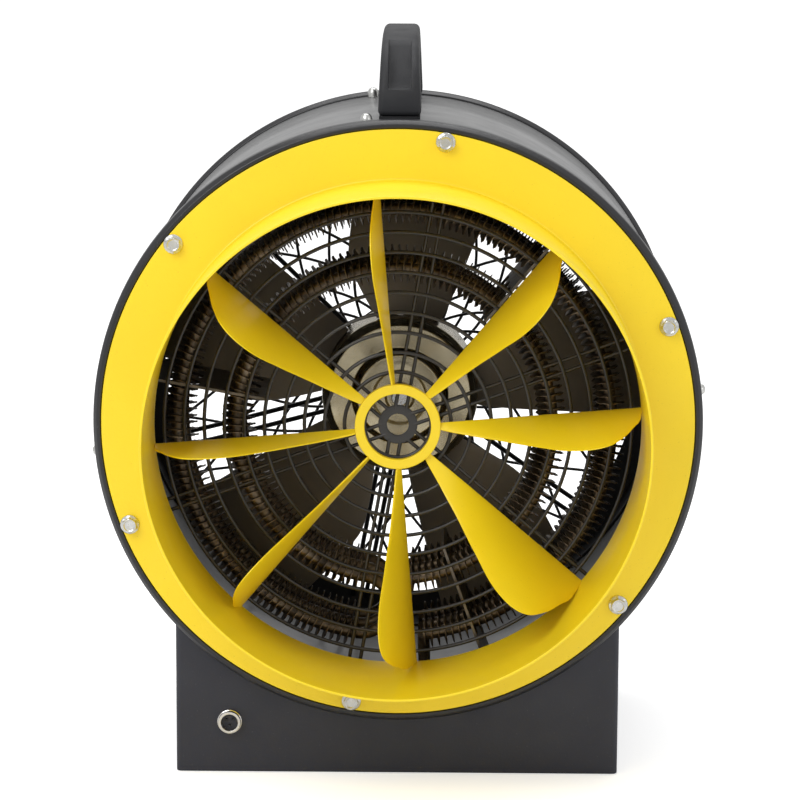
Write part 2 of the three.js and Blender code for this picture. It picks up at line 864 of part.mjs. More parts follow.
for (let i = 0; i < bracketCount; i++) {
  const bracket = place(airway, `element_bracket_${i + 1}`, elementBracket(), zinc);
  bracket.rotation.z = -radians(bracketFirstAngle + (i * 360) / bracketCount);
}

// ---- Fan ----

const fan = new THREE.Group();
fan.position.z = fanPlane;
airway.add(fan);
const bladeTipRadius = drumRadius - drumWall - bladeTipGap;

// The rotor is a cup, open at the rear, with a stepped face and a boss on the shaft.
function fanHub() {
  const bore = shaftRadius + seatGap;
  const roof = rotorFront - rotorWall;
  return turned(
    [
      [bore, rotorFront + rotorStep - rotorBossLength],
      [rotorBossRadius, rotorFront + rotorStep - rotorBossLength],
      [rotorBossRadius, roof],
      [rotorRadius - rotorWall, roof],
      [rotorRadius - rotorWall, -rotorRear],
      [rotorRadius, -rotorRear],
      [rotorRadius, rotorFront - rotorEdge],
      [rotorRadius - rotorEdge, rotorFront],
      [rotorStepRadius, rotorFront],
      [rotorStepRadius - rotorStepSlope, rotorFront + rotorStep],
      [bore, rotorFront + rotorStep],
    ],
    24,
  );
}

// A sickle blade drawn flat, outward along Y, then pitched about its middle line.
function fanBlade() {
  const pitch = radians(bladePitch);
  const tip = radians(bladeSpan);
  // The root follows the rotor once the blade is pitched
  const root = [-0.5, -0.3, -0.1, 0.1, 0.3, 0.5].map((share) => {
    const x = share * bladeRootWidth;
    const y = Math.sqrt((rotorRadius + seatGap) ** 2 - (x * Math.cos(pitch)) ** 2);
    return new THREE.Vector2(x, y);
  });
  const outline = new THREE.Shape();
  outline.moveTo(root[0].x, root[0].y);
  outline.quadraticCurveTo(
    -bladeTipRadius * bladeLeadBulge,
    bladeTipRadius * bladeBelly,
    -bladeTipRadius * Math.sin(tip),
    bladeTipRadius * Math.cos(tip),
  );
  outline.absarc(0, 0, bladeTipRadius, Math.PI / 2 + tip, Math.PI / 2 - tip, true);
  const heel = root[root.length - 1];
  outline.quadraticCurveTo(
    bladeTipRadius * bladeTrailBulge,
    bladeTipRadius * bladeBelly,
    heel.x,
    heel.y,
  );
  for (const point of root.slice(1, -1).reverse()) outline.lineTo(point.x, point.y);
  const depth = bladeThickness;
  const blade = new THREE.ExtrudeGeometry(outline, { depth, bevelEnabled: false, curveSegments: 6 });
  return blade.translate(0, 0, -depth / 2).rotateY(pitch);
}

place(fan, "fan_hub", fanHub(), aluminium);
for (let i = 0; i < bladeCount; i++) {
  const blade = clockwise(fanBlade(), bladeFirstAngle + (i * 360) / bladeCount);
  place(fan, `fan_blade_${i + 1}`, blade, bladePaint);
}
const motorFlangeFront = -rotorRear - runningGap;
const shaftRear = motorFlangeFront - motorFlangeThickness;
place(fan, "motor_shaft", rod(shaftRadius, shaftRear, rotorFront + rotorStep + 3, 12), zinc);

// ---- Motor and its mount ----

function motorBody() {
  const bore = shaftRadius + bearingGap;
  const stator = motorFlangeFront + statorLength;
  const statorRadius = rotorRadius - rotorWall - runningGap;
  return turned(
    [
      [bore, shaftRear],
      [motorFlangeRadius, shaftRear],
      [motorFlangeRadius, motorFlangeFront],
      [statorRadius, motorFlangeFront + motorShoulder],
      [statorRadius, stator],
      [bore, stator],
    ],
    24,
  );
}

const motor = place(airway, "motor_body", motorBody(), castIron);
motor.position.z = fanPlane;

// A round plate behind the motor, held by slanted pairs of rods with tabs on the rear ring.
function motorMount() {
  const plateTop = fanPlane + shaftRear - seatGap;
  const plateLow = plateTop - mountPlateThickness;
  const tabLow = -(flangeFace - ringWall - seatGap);
  const tabHigh = tabLow + mountTabThickness;
  const tabMiddle = ringOpening + mountTabLength / 2;
  const pieces = [solid(rod(motorFlangeRadius, plateLow, plateTop, 24))];
  for (let i = 0; i < spokePairs; i++) {
    const angle = spokeFirstAngle + (i * 360) / spokePairs;
    for (const side of [-0.5, 0.5]) {
      const x = side * mountRodSpread;
      const root = motorFlangeRadius - mountRodInset;
      const from = new THREE.Vector3(x, root, plateTop - mountRodDiameter / 2);
      const to = new THREE.Vector3(x, tabMiddle, tabHigh);
      pieces.push(solid(clockwise(bar(from, to, mountRodDiameter, 6), angle)));
    }
    const tab = block(
      [-mountTabWidth / 2, tabMiddle - mountTabLength / 2, tabLow],
      [mountTabWidth / 2, tabMiddle + mountTabLength / 2, tabHigh],
    );
    pieces.push(solid(clockwise(tab, angle)));
  }
  const floor = solid(rod(drumRadius, tabLow, rimFace, drumSides));
  return join(pieces).intersect(floor);
}

place(airway, "motor_mount", motorMount(), guardPaint);

// ---- Base ----

const halfWidth = baseWidth / 2;
const halfDepth = rimFace - baseSetback;
const panelTop = axisHeight; // the drum cuts the walls off lower than this
const drumCut = drumPlug.rotate([90, 0, 0]).translate([0, 0, axisHeight]);

// Plan outline of the base with rounded front and rear corners.
function planOutline(inset, corner) {
  const x = halfWidth - inset;
  const y = halfDepth - inset;
  const outline = new THREE.Shape();
  outline.moveTo(corner - x, -y);
  outline.lineTo(x - corner, -y);
  outline.quadraticCurveTo(x, -y, x, corner - y);
  outline.lineTo(x, y - corner);
  outline.quadraticCurveTo(x, y, x - corner, y);
  outline.lineTo(corner - x, y);
  outline.quadraticCurveTo(-x, y, -x, y - corner);
  outline.lineTo(-x, corner - y);
  outline.quadraticCurveTo(-x, -y, corner - x, -y);
  return outline;
}

// The wrap-round shell: front, two sides, a lip turned in above the bottom plate, and a saddle
// flange at the front.
function baseShell() {
  const tall = { depth: panelTop, bevelEnabled: false, curveSegments: 3 };
  const outer = solid(new THREE.ExtrudeGeometry(planOutline(0, baseCornerRadius), tall));
  const inside = halfWidth - baseWall;
  const hollow = join([
    solid(new THREE.ExtrudeGeometry(planOutline(baseWall, baseCornerRadius / 2), tall)),
    solid(block([-inside, 0, 0], [inside, halfDepth, panelTop])),
  ]);
  const lipLow = plateThickness + seatGap;
  const opening = solid(
    block(
      [baseLip - halfWidth, baseLip - halfDepth, -overlap],
      [halfWidth - baseLip, halfDepth + overlap, panelTop],
    ),
  );
  const rearCut = solid(
    block(
      [-halfWidth - overlap, halfDepth - plateThickness - seatGap, -overlap],
      [halfWidth + overlap, halfDepth + overlap, panelTop],
    ),
  );
  const underLip = hollow.translate([0, 0, lipLow - panelTop]);
  const overLip = hollow.translate([0, 0, lipLow + baseWall]);
  const walls = cut(outer, [underLip, overLip, opening, rearCut, drumCut]);
  const bore = solid(
    rod(socketBarrel / 2 + seatGap, -toolReach, toolReach, 16)
      .rotateX(Math.PI / 2)
      .translate(socketX, -halfDepth, socketZ),
  );
  return join([walls, saddle(-halfDepth, -halfDepth + saddleDepth)]).subtract(bore);
}

// A flange that follows the drum between two places along Y, as wide as the base inside.
function saddle(y0, y1) {
  const inside = drumRadius + seatGap;
  const band = turned(
    [
      [inside, -y1],
      [inside + baseWall, -y1],
      [inside + baseWall, -y0],
      [inside, -y0],
    ],
    drumSides,
  );
  const inner = halfWidth - baseWall / 2;
  const reach = block([-inner, -drumRadius - toolReach, -y1], [inner, -toolReach, -y0]);
  return solid(band)
    .intersect(solid(reach))
    .rotate([90, 0, 0])
    .translate([0, 0, axisHeight]);
}

// The rear panel carries the controls. Its saddle flange points forward, under the drum.
function rearPanel() {
  const y1 = halfDepth;
  const y0 = halfDepth - plateThickness;
  const tall = { depth: panelTop, bevelEnabled: false, curveSegments: 3 };
  const outer = solid(new THREE.ExtrudeGeometry(planOutline(0, baseCornerRadius), tall));
  const sheet = solid(block([-halfWidth, y0, 0], [halfWidth, y1, panelTop])).intersect(outer);
  const holes = [
    [selectorX, selectorZ, spindleDiameter + 2 * seatGap],
    [thermostatX, thermostatZ, spindleDiameter + 2 * seatGap],
    [buttonX, buttonZ, buttonDiameter + 2 * seatGap],
    [inletX, inletZ, inletBarrel - 2 * inletWall],
  ].map(([x, z, diameter]) =>
    solid(
      rod(diameter / 2, -toolReach, toolReach, 16)
        .rotateX(Math.PI / 2)
        .translate(x, halfDepth, z),
    ),
  );
  const inner = halfWidth - baseWall - seatGap;
  const flange = saddle(halfDepth - saddleDepth, halfDepth).intersect(
    solid(block([-inner, -halfDepth, 0], [inner, halfDepth, axisHeight])),
  );
  return cut(join([sheet.subtract(drumCut), flange]), holes);
}

function bottomPlate() {
  const sheet = { depth: plateThickness, bevelEnabled: false, curveSegments: 3 };
  const outline = planOutline(baseWall + seatGap, baseCornerRadius / 2);
  return new THREE.ExtrudeGeometry(outline, sheet);
}

// Places of the fittings, across the panels
const socketX = socketInset - halfWidth;
const selectorX = halfWidth - selectorInset;
const thermostatX = selectorX - thermostatSpacing;
const buttonX = thermostatX - buttonSpacing;
const inletX = inletInset - halfWidth;

place(heater, "base_shell", baseShell(), charcoalPaint);
place(heater, "rear_panel", rearPanel(), charcoalPaint);
place(heater, "bottom_plate", bottomPlate(), charcoalPaint);

// ---- Sensor socket ----

// Pieces of the front panel: local Z points out of the panel, from its outer face.
const frontPanel = new THREE.Group();
frontPanel.position.set(socketX, -halfDepth, socketZ);
frontPanel.rotation.x = Math.PI / 2;
heater.add(frontPanel);

const socketShell = turned(
  [
    [socketBore / 2, -socketBarrelLength],
    [socketBarrel / 2, -socketBarrelLength],
    [socketBarrel / 2, seatGap],
    [socketFlange / 2, seatGap],
    [socketFlange / 2, socketFlangeHeight - socketEdge],
    [socketFlange / 2 - socketEdge, socketFlangeHeight],
    [socketBore / 2, socketFlangeHeight],
  ],
  20,
);
place(frontPanel, "sensor_socket", socketShell, zinc);

function socketInsert() {
  const face = socketFlangeHeight - socketBoreDepth;
  const radius = (socketBore / 2) * Math.cos(Math.PI / 20) - seatGap;
  const pieces = [solid(rod(radius, -socketBarrelLength, face, 20))];
  for (let i = 0; i < pinCount; i++) {
    const { x, y } = clockPoint(pinCircle / 2, 60 + (i * 360) / pinCount);
    pieces.push(solid(rod(pinDiameter / 2, face - overlap, face + pinLength, 6, x, y)));
  }
  return join(pieces);
}

place(frontPanel, "socket_insert", socketInsert(), blackPlastic);

// ---- Controls ----

// A fitting of the rear panel: local Z points out of the panel, from its outer face.
function panelFrame(x, z) {
  const frame = new THREE.Group();
  frame.position.set(x, halfDepth, z);
  frame.rotation.x = -Math.PI / 2;
  heater.add(frame);
  return frame;
}

// A knob with a wide skirt and a raised grip bar, on a spindle that ends inside the switch.
function knob(diameter) {
  const low = knobStandoff;
  const rise = low + knobSkirt + knobSlope[1];
  const skirt = turned(
    [
      [0, low],
      [diameter / 2, low],
      [diameter / 2, low + knobSkirt],
      [diameter / 2 - knobSlope[0], rise],
      [0, rise],
    ],
    20,
  );
  const gripX = (diameter * knobGripWidth) / 2;
  const gripY = (diameter * knobGripLength) / 2;
  const grip = block([-gripX, -gripY, low + overlap], [gripX, gripY, low + knobHeight]);
  const spindle = rod(spindleDiameter / 2, -plateThickness - spindleReach, low + overlap, 10);
  return join([solid(skirt), solid(grip), solid(spindle)]);
}

// The body behind the panel, with a blind hole for the spindle.
function switchBody(size, depth) {
  const top = -plateThickness - seatGap;
  const body = block([-size / 2, -size / 2, top - depth], [size / 2, size / 2, top]);
  const depthOfHole = plateThickness + spindleReach + runningGap;
  const hole = rod(spindleDiameter / 2 + seatGap, -depthOfHole, overlap, 10);
  return cut(solid(body), [solid(hole)]);
}

const selector = panelFrame(selectorX, selectorZ);
place(selector, "selector_knob", knob(selectorDiameter), blackPlastic);
place(selector, "selector_switch", switchBody(selectorBody, selectorBodyDepth), blackPlastic);

const thermostat = panelFrame(thermostatX, thermostatZ);
place(thermostat, "thermostat_knob", knob(thermostatDiameter), blackPlastic);
place(thermostat, "thermostat_body", switchBody(thermostatBody, thermostatBodyDepth), zinc);

const button = panelFrame(buttonX, buttonZ);
const collarTop = -plateThickness - seatGap;
place(
  button,
  "reset_button",
  turned(
    [
      [0, buttonProud - buttonLength],
      [buttonDiameter / 2, buttonProud - buttonLength],
      [buttonDiameter / 2, collarTop - buttonCollarLength],
      [buttonCollar / 2, collarTop - buttonCollarLength],
      [buttonCollar / 2, collarTop],
      [buttonDiameter / 2, collarTop],
      [buttonDiameter / 2, buttonProud - buttonEdge],
      [buttonDiameter / 2 - buttonEdge, buttonProud],
      [0, buttonProud],
    ],
    16,
  ),
  redPlastic,
);

// The overheat cutout behind the button: a block with a well for the button and its stop collar.
function cutout() {
  const top = -plateThickness - seatGap;
  const half = cutoutBody / 2;
  const body = block([-half, -half, top - cutoutDepth], [half, half, top]);
  const stroke = buttonTravel + seatGap;
  const wellFloor = collarTop - buttonCollarLength - stroke;
  const boreFloor = buttonProud - buttonLength - stroke;
  const well = rod(buttonCollar / 2 + seatGap, wellFloor, overlap, 16);
  const bore = rod(buttonDiameter / 2 + seatGap, boreFloor, overlap, 16);
  return cut(solid(body), [solid(well), solid(bore)]);
}

place(button, "cutout_body", cutout(), blackPlastic);

// ---- Supply inlet ----

function powerInlet() {
  const low = seatGap;
  const flange = block(
    [-inletFlange / 2, -inletFlange / 2, low],
    [inletFlange / 2, inletFlange / 2, low + inletFlangeThickness],
  );
  const outer = inletBarrel / 2;
  const inner = outer - inletWall;
  const floor = low + inletFloor;
  const barrel = turned(
    [
      [0, low - inletBack],
      [inner - 2 * seatGap, low - inletBack],
      [inner - 2 * seatGap, low + overlap],
      [outer, low + overlap],
      [outer, low + inletBarrelLength],
      [inner, low + inletBarrelLength],
      [inner, floor],
      [0, floor],
    ],
    24,
  );
  const hollow = rod(inner, floor, low + inletBarrelLength + toolReach, 24);
  const pieces = [solid(flange).subtract(solid(hollow)), solid(barrel)];
  for (let i = 0; i < inletPinCount; i++) {
    const { x, y } = clockPoint(inletPinCircle / 2, 180 + (i * 360) / inletPinCount);
    pieces.push(solid(rod(inletPin / 2, floor - overlap, floor + inletPinLength, 8, x, y)));
  }
  return join(pieces);
}

place(panelFrame(inletX, inletZ), "power_inlet", powerInlet(), redPlastic);

// ---- Terminal block ----

function terminalBlock() {
  const low = plateThickness + seatGap;
  const body = block(
    [blockX - blockLength / 2, -blockWidth / 2, low],
    [blockX + blockLength / 2, blockWidth / 2, low + blockHeight],
  );
  const slots = [];
  for (let i = 0; i < blockWays; i++) {
    const x = blockX + (i - (blockWays - 1) / 2) * (blockLength / blockWays);
    for (const side of [1, -1]) {
      const middle = (side * blockWidth) / 2;
      slots.push(
        solid(
          block(
            [x - blockWayWidth / 2, middle - blockWidth / 4, low + blockHeight / 2],
            [x + blockWayWidth / 2, middle + blockWidth / 4, low + blockHeight + overlap],
          ),
        ),
      );
    }
  }
  return cut(solid(body), slots);
}

place(heater, "terminal_block", terminalBlock(), cream);

export default heater;
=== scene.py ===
"""Looks of a portable forced air heater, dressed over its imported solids. Metres, +Z up, -Y is the outlet."""

import math
import random

import bmesh
import bpy
from mathutils import Matrix, Vector


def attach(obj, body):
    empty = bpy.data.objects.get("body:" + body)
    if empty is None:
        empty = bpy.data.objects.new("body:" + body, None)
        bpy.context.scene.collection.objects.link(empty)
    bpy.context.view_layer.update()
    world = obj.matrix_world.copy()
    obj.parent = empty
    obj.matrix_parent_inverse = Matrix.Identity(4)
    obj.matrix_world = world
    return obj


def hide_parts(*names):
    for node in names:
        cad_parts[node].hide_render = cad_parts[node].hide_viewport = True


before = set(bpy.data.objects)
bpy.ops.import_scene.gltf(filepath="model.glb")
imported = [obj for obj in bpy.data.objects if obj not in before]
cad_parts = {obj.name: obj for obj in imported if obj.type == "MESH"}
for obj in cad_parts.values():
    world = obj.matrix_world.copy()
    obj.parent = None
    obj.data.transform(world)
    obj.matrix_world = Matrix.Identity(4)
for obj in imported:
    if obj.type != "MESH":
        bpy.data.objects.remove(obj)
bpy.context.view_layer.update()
scene = bpy.context.scene
random.seed(7)

MM = 0.001
AXIS = 277.0  # drum axis above the floor, mm

# Sizes in mm. Places along the airway are counted forward from the drum's middle.
GAP = 0.3  # between pieces that rest on each other
DRUM, DRUM_WALL, DRUM_END = 226.0, 2.0, 138.0  # radius of the sheet, its wall, half its length
FACE = 154.0  # front of the rim and of the outlet flange
COLLAR, COLLAR_WALL, COLLAR_END = 183.0, 2.0, 259.0  # bore of the collar, its wall, its mouth
FLANGE, FLANGE_BACK = 223.1, 152.0
HUB, HUB_BORE, HUB_LENGTH = 32.3, 25.0, 6.0  # ring in the middle of the vanes
SPOKES, SPOKE_FIRST = 6, 10  # pairs of straight wires or rods, and the first one's angle
HALF_W, HALF_D, BASE_WALL = 170.5, 131.0, 2.0  # half the base's width and depth, its wall
SEAT = DRUM + GAP  # inside of the parts that follow the drum
SCREW_TURN = 1.5  # most by which a screw's cross is turned, radians


# ---------------------------------------------------------------- materials


class Recipe:
    """A node material built step by step."""

    def __init__(self, name):
        self.material = bpy.data.materials.new(name)
        self.material.use_nodes = True
        self.tree = self.material.node_tree
        self.shader = self.tree.nodes["Principled BSDF"]
        self.place = self.add("ShaderNodeTexCoord").outputs["Object"]

    def add(self, kind, **values):
        node = self.tree.nodes.new(kind)
        for key, value in values.items():
            setattr(node, key, value)
        return node

    def link(self, source, target):
        self.tree.links.new(source, target)

    def set(self, **values):
        names = {"metal": "Metallic", "ior": "IOR", "coat": "Coat Weight", "coat_rough": "Coat Roughness",
                 "specular": "Specular IOR Level"}
        for key, value in values.items():
            self.shader.inputs[names[key]].default_value = value

    def noise(self, scale, detail, stretch=None, distortion=0.0):
        source = self.place
        if stretch:
            mapping = self.add("ShaderNodeMapping")
            mapping.inputs["Scale"].default_value = stretch
            self.link(source, mapping.inputs["Vector"])
            source = mapping.outputs["Vector"]
        node = self.add("ShaderNodeTexNoise")
        node.inputs["Scale"].default_value = scale
        node.inputs["Detail"].default_value = detail
        node.inputs["Distortion"].default_value = distortion
        self.link(source, node.inputs["Vector"])
        return node.outputs["Fac"]

    def span(self, source, low, high, a=0.35, b=0.65):
        """A value from low to high while the source goes from a to b."""
        node = self.add("ShaderNodeMapRange")
        for key, value in (("From Min", a), ("From Max", b), ("To Min", low), ("To Max", high)):
            node.inputs[key].default_value = value
        self.link(source, node.inputs["Value"])
        return node.outputs["Result"]

    def tint(self, source, dark, light, a=0.35, b=0.65):
        node = self.add("ShaderNodeValToRGB")
        ramp = node.color_ramp
        ramp.elements[0].position = a
        ramp.elements[0].color = (*dark, 1)
        ramp.elements[1].position = b
        ramp.elements[1].color = (*light, 1)
        self.link(source, node.inputs["Fac"])
        return node.outputs["Color"]

    def mix(self, factor, first, second):
        node = self.add("ShaderNodeMix", data_type="RGBA")
        self.link(factor, node.inputs["Factor"])
        for index, value in ((6, first), (7, second)):
            if isinstance(value, tuple):
                node.inputs[index].default_value = (*value, 1)
            else:
                self.link(value, node.inputs[index])
        return node.outputs[2]

    def bump(self, source, strength, distance):
        node = self.add("ShaderNodeBump")
        node.inputs["Strength"].default_value = strength
        node.inputs["Distance"].default_value = distance
        self.link(source, node.inputs["Height"])
        self.link(node.outputs["Normal"], self.shader.inputs["Normal"])

    def base(self, source):
        self.link(source, self.shader.inputs["Base Color"])

    def rough(self, source):
        self.link(source, self.shader.inputs["Roughness"])


def shade(colour, factor):
    return tuple(min(1.0, c * factor) for c in colour)


def enamel(name, colour, rough, coat, vary=0.06, peel=0.0004, dust=None, coat_rough=0.12):
    """Sprayed enamel: slight mottling, orange peel and a few specks of dust."""
    r = Recipe(name)
    mottled = r.tint(r.noise(9, 5), shade(colour, 1 - vary), shade(colour, 1 + vary))
    specks = r.span(r.noise(900, 2), 0.0, 1.0, 0.71, 0.76)
    r.base(r.mix(specks, mottled, dust or shade(colour, 0.75)))
    r.set(metal=0.0, coat=coat, coat_rough=coat_rough, ior=1.5)
    r.rough(r.span(r.noise(30, 6), rough - 0.05, rough + 0.07))
    r.bump(r.noise(420, 3), 0.25, peel)
    return r.material


def bare_metal(name, colour, rough, stretch, scale):
    """Metal with fine drawn or turned marks along one direction."""
    r = Recipe(name)
    marks = r.noise(scale, 6, stretch)
    stain = r.noise(18, 5)
    tone = r.tint(stain, shade(colour, 0.88), shade(colour, 1.12))
    r.base(r.mix(r.span(marks, 0.0, 0.35, 0.4, 0.7), tone, shade(colour, 0.7)))
    r.set(metal=1.0)
    r.rough(r.span(marks, rough - 0.07, rough + 0.1, 0.3, 0.7))
    r.bump(marks, 0.3, 0.0003)
    return r.material


def moulded(name, colour, rough):
    """Moulded plastic with a fine eroded grain."""
    r = Recipe(name)
    r.base(r.tint(r.noise(14, 5), shade(colour, 0.95), shade(colour, 1.05)))
    r.set(metal=0.0, ior=1.48)
    r.rough(r.span(r.noise(60, 5), rough - 0.05, rough + 0.08))
    r.bump(r.noise(900, 2), 0.35, 0.0002)
    return r.material


def heat_tinted(name):
    """Finned steel that has been hot: bronze to brown-black bands, scale on top."""
    r = Recipe(name)
    bands = r.noise(24, 5, distortion=0.6)
    tone = r.tint(bands, (0.09, 0.066, 0.045), (0.26, 0.2, 0.13), 0.36, 0.66)
    scale = r.span(r.noise(260, 4), 0.0, 1.0, 0.5, 0.72)
    r.base(r.mix(scale, tone, (0.055, 0.045, 0.036)))
    r.set(metal=0.8)
    r.rough(r.span(r.noise(130, 4), 0.32, 0.6))
    r.bump(r.noise(500, 3), 0.3, 0.0003)
    return r.material


def cast(name, colour, rough):
    """Cast surface: coarse grain with darker pits."""
    r = Recipe(name)
    pits = r.add("ShaderNodeTexVoronoi")
    pits.inputs["Scale"].default_value = 380
    r.link(r.place, pits.inputs["Vector"])
    depth = r.span(pits.outputs["Distance"], 0.0, 1.0, 0.0, 0.45)
    tone = r.tint(r.noise(40, 5), shade(colour, 0.85), shade(colour, 1.15))
    r.base(r.mix(depth, shade(colour, 0.7), tone))
    r.set(metal=0.7)
    r.rough(r.span(r.noise(90, 4), rough - 0.06, rough + 0.08))
    r.bump(depth, 0.25, 0.0004)
    return r.material


ROUND = (1.0, 1.0, 1.0)
yellow = enamel("yellow_enamel", (0.92, 0.685, 0.011), 0.45, 0.12, vary=0.03, coat_rough=0.3)
charcoal = enamel("charcoal_enamel", (0.017, 0.018, 0.028), 0.5, 0.1, dust=(0.09, 0.09, 0.1))
drum_paint = enamel("drum_enamel", (0.115, 0.115, 0.116), 0.42, 0.3, peel=0.00015, dust=(0.12, 0.12, 0.12))
black = enamel("black_enamel", (0.01, 0.01, 0.012), 0.36, 0.1, dust=(0.07, 0.07, 0.07))
bottom_paint = enamel("bottom_enamel", (0.05, 0.05, 0.055), 0.5, 0.1, dust=(0.2, 0.2, 0.2))
wire_paint = enamel("guard_enamel", (0.019, 0.017, 0.015), 0.4, 0.15, dust=(0.1, 0.1, 0.1))
# The blades' brown is set several times lighter than their dark paint: painted light for the dim inside of the
# drum.
blade_paint = enamel("blade_enamel", (0.2, 0.168, 0.125), 0.5, 0.12, vary=0.15, dust=(0.2, 0.17, 0.13))
mount_paint = enamel("mount_enamel", (0.016, 0.016, 0.017), 0.4, 0.2, dust=(0.1, 0.1, 0.1))
zinc = bare_metal("zinc_plate", (0.62, 0.62, 0.6), 0.3, ROUND, 300)
galvanised = bare_metal("galvanised_sheet", (0.17, 0.15, 0.125), 0.5, (1, 6, 1), 90)
# The aluminium's yellow-brown tint is a painted reflection of the yellow collar and vanes around it.
aluminium = bare_metal("turned_aluminium", (0.46, 0.4, 0.27), 0.2, (1, 30, 1), 60)
shaft_steel = bare_metal("ground_steel", (0.6, 0.6, 0.6), 0.25, (1, 40, 1), 120)
nickel = bare_metal("nickel_shell", (0.72, 0.7, 0.66), 0.2, ROUND, 240)
can_steel = bare_metal("pressed_can", (0.5, 0.5, 0.48), 0.35, (1, 8, 1), 90)
brass = bare_metal("brass_pin", (0.8, 0.56, 0.24), 0.25, ROUND, 240)
element_steel = heat_tinted("element_sheath")
iron = cast("motor_iron", (0.13, 0.13, 0.13), 0.55)
handle_plastic = moulded("handle_plastic", (0.013, 0.0135, 0.016), 0.6)
insulator = moulded("insulator", (0.018, 0.018, 0.018), 0.45)
knob_plastic = moulded("knob_plastic", (0.028, 0.028, 0.029), 0.42)
red_plastic = moulded("red_plastic", (0.5, 0.028, 0.02), 0.3)
cream_plastic = moulded("cream_plastic", (0.7, 0.65, 0.52), 0.45)
mark_paint = moulded("mark_paint", (0.75, 0.75, 0.73), 0.5)


# ---------------------------------------------------------------- mesh tools


def at(x, y, z):
    """A point in metres from the airway's own place: x right, y up from the axis, z forward, mm."""
    return Vector((x, -z, AXIS + y)) * MM


def around(radius, degrees, z):
    """A point in metres at a clockwise angle from the top, seen from the outlet."""
    angle = math.radians(degrees)
    return at(radius * math.sin(angle), radius * math.cos(angle), z)


def spoke_point(index, side, radius, z):
    """A point in metres beside a spoke's own middle line."""
    turn = math.radians(SPOKE_FIRST + 360 / SPOKES * index)
    x = side * math.cos(turn) + radius * math.sin(turn)
    y = -side * math.sin(turn) + radius * math.cos(turn)
    return at(x, y, z)


class Shape:
    """Vertices and faces gathered for one piece."""

    def __init__(self):
        self.verts = []
        self.faces = []

    def grid(self, rows, wrap_rows=False, wrap_columns=False, cap=False):
        """Faces between rows of points; every row has as many points."""
        start = len(self.verts)
        height, width = len(rows), len(rows[0])
        for row in rows:
            self.verts.extend(row)
        for i in range(height if wrap_rows else height - 1):
            for j in range(width if wrap_columns else width - 1):
                a = start + i * width
                b = start + (i + 1) % height * width
                k = (j + 1) % width
                self.faces.append((a + j, a + k, b + k, b + j))
        if cap:
            self.faces.append(tuple(start + j for j in reversed(range(width))))
            last = start + (height - 1) * width
            self.faces.append(tuple(last + j for j in range(width)))

    def sweep(self, points, radius, sides, closed=False):
        """A round bar through points."""
        count = len(points)
        normal = None
        rows = []
        for i, point in enumerate(points):
            ahead = points[(i + 1) % count] if closed or i + 1 < count else point
            behind = points[i - 1] if closed or i else point
            along = (ahead - behind).normalized()
            if normal is None:
                normal = along.orthogonal().normalized()
                if abs(along.y) < 0.7:
                    normal = (Vector((0, 1, 0)) - along * along.y).normalized()
            normal = (normal - along * normal.dot(along)).normalized()
            side = along.cross(normal)
            row = []
            for j in range(sides):
                angle = 2 * math.pi * j / sides
                row.append(point + (normal * math.cos(angle) + side * math.sin(angle)) * radius * MM)
            rows.append(row)
        self.grid(rows, wrap_rows=closed, wrap_columns=True, cap=not closed)

    def ring(self, radius, wire, z, steps, sides):
        """A round wire ring on the drum's axis."""
        points = [at(radius * math.sin(t), radius * math.cos(t), z)
                  for t in (2 * math.pi * i / steps for i in range(steps))]
        self.sweep(points, wire / 2, sides, closed=True)

    def turned(self, profile, steps, place=at):
        """A closed profile of (radius, z) turned about the local z axis."""
        rows = []
        for i in range(steps):
            angle = 2 * math.pi * i / steps
            rows.append([place(r * math.sin(angle), r * math.cos(angle), z) for r, z in profile])
        self.grid(rows, wrap_rows=True, wrap_columns=True)

    def mesh(self, name):
        """A mesh of the gathered faces, turned outward."""
        mesh = bpy.data.meshes.new(name)
        mesh.from_pydata([tuple(v) for v in self.verts], [], self.faces)
        work = bmesh.new()
        work.from_mesh(mesh)
        bmesh.ops.remove_doubles(work, verts=work.verts, dist=1e-7)
        bmesh.ops.recalc_face_normals(work, faces=work.faces)
        work.to_mesh(mesh)
        work.free()
        return mesh

    def build(self, name, material, **rest):
        return finish_piece(name, self.mesh(name), material, **rest)


def finish_piece(name, mesh, material, slot, body="heater", sharp=38, stands_for=()):
    """Puts a mesh in the scene on its body; edges sharper than `sharp` degrees stay crisp."""
    mesh.materials.append(material)
    mesh.polygons.foreach_set("use_smooth", [True] * len(mesh.polygons))
    mesh.set_sharp_from_angle(angle=math.radians(sharp))
    piece = bpy.data.objects.new(name, mesh)
    scene.collection.objects.link(piece)
    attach(piece, body)
    if stands_for:
        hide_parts(*stands_for)
    return piece


def fillet(points, radius, steps=4):
    """A closed outline with its corners rounded. A point may carry its own radius."""
    result = []
    count = len(points)
    for i in range(count):
        here = Vector(points[i][:2])
        before = Vector(points[i - 1][:2]) - here
        after = Vector(points[(i + 1) % count][:2]) - here
        wanted = points[i][2] if len(points[i]) > 2 else radius
        angle = before.angle(after)
        if wanted <= 0 or angle > math.radians(176):
            result.append(tuple(here))
            continue
        reach = min(wanted / math.tan(angle / 2), 0.45 * before.length, 0.45 * after.length)
        start = here + before.normalized() * reach
        end = here + after.normalized() * reach
        for k in range(steps + 1):
            t = k / steps
            result.append(tuple(start * (1 - t) ** 2 + here * 2 * t * (1 - t) + end * t**2))
    return result


def modifier(piece, kind, name, **values):
    made = piece.modifiers.new(name, kind)
    for key, value in values.items():
        setattr(made, key, value)


def bevel(piece, name, width, segments, limit):
    """Rounds edges sharper than the limit in radians; width in mm."""
    modifier(piece, "BEVEL", name, width=width * MM, segments=segments, limit_method="ANGLE",
             angle_limit=limit)


# ---------------------------------------------------------------- drum and rims

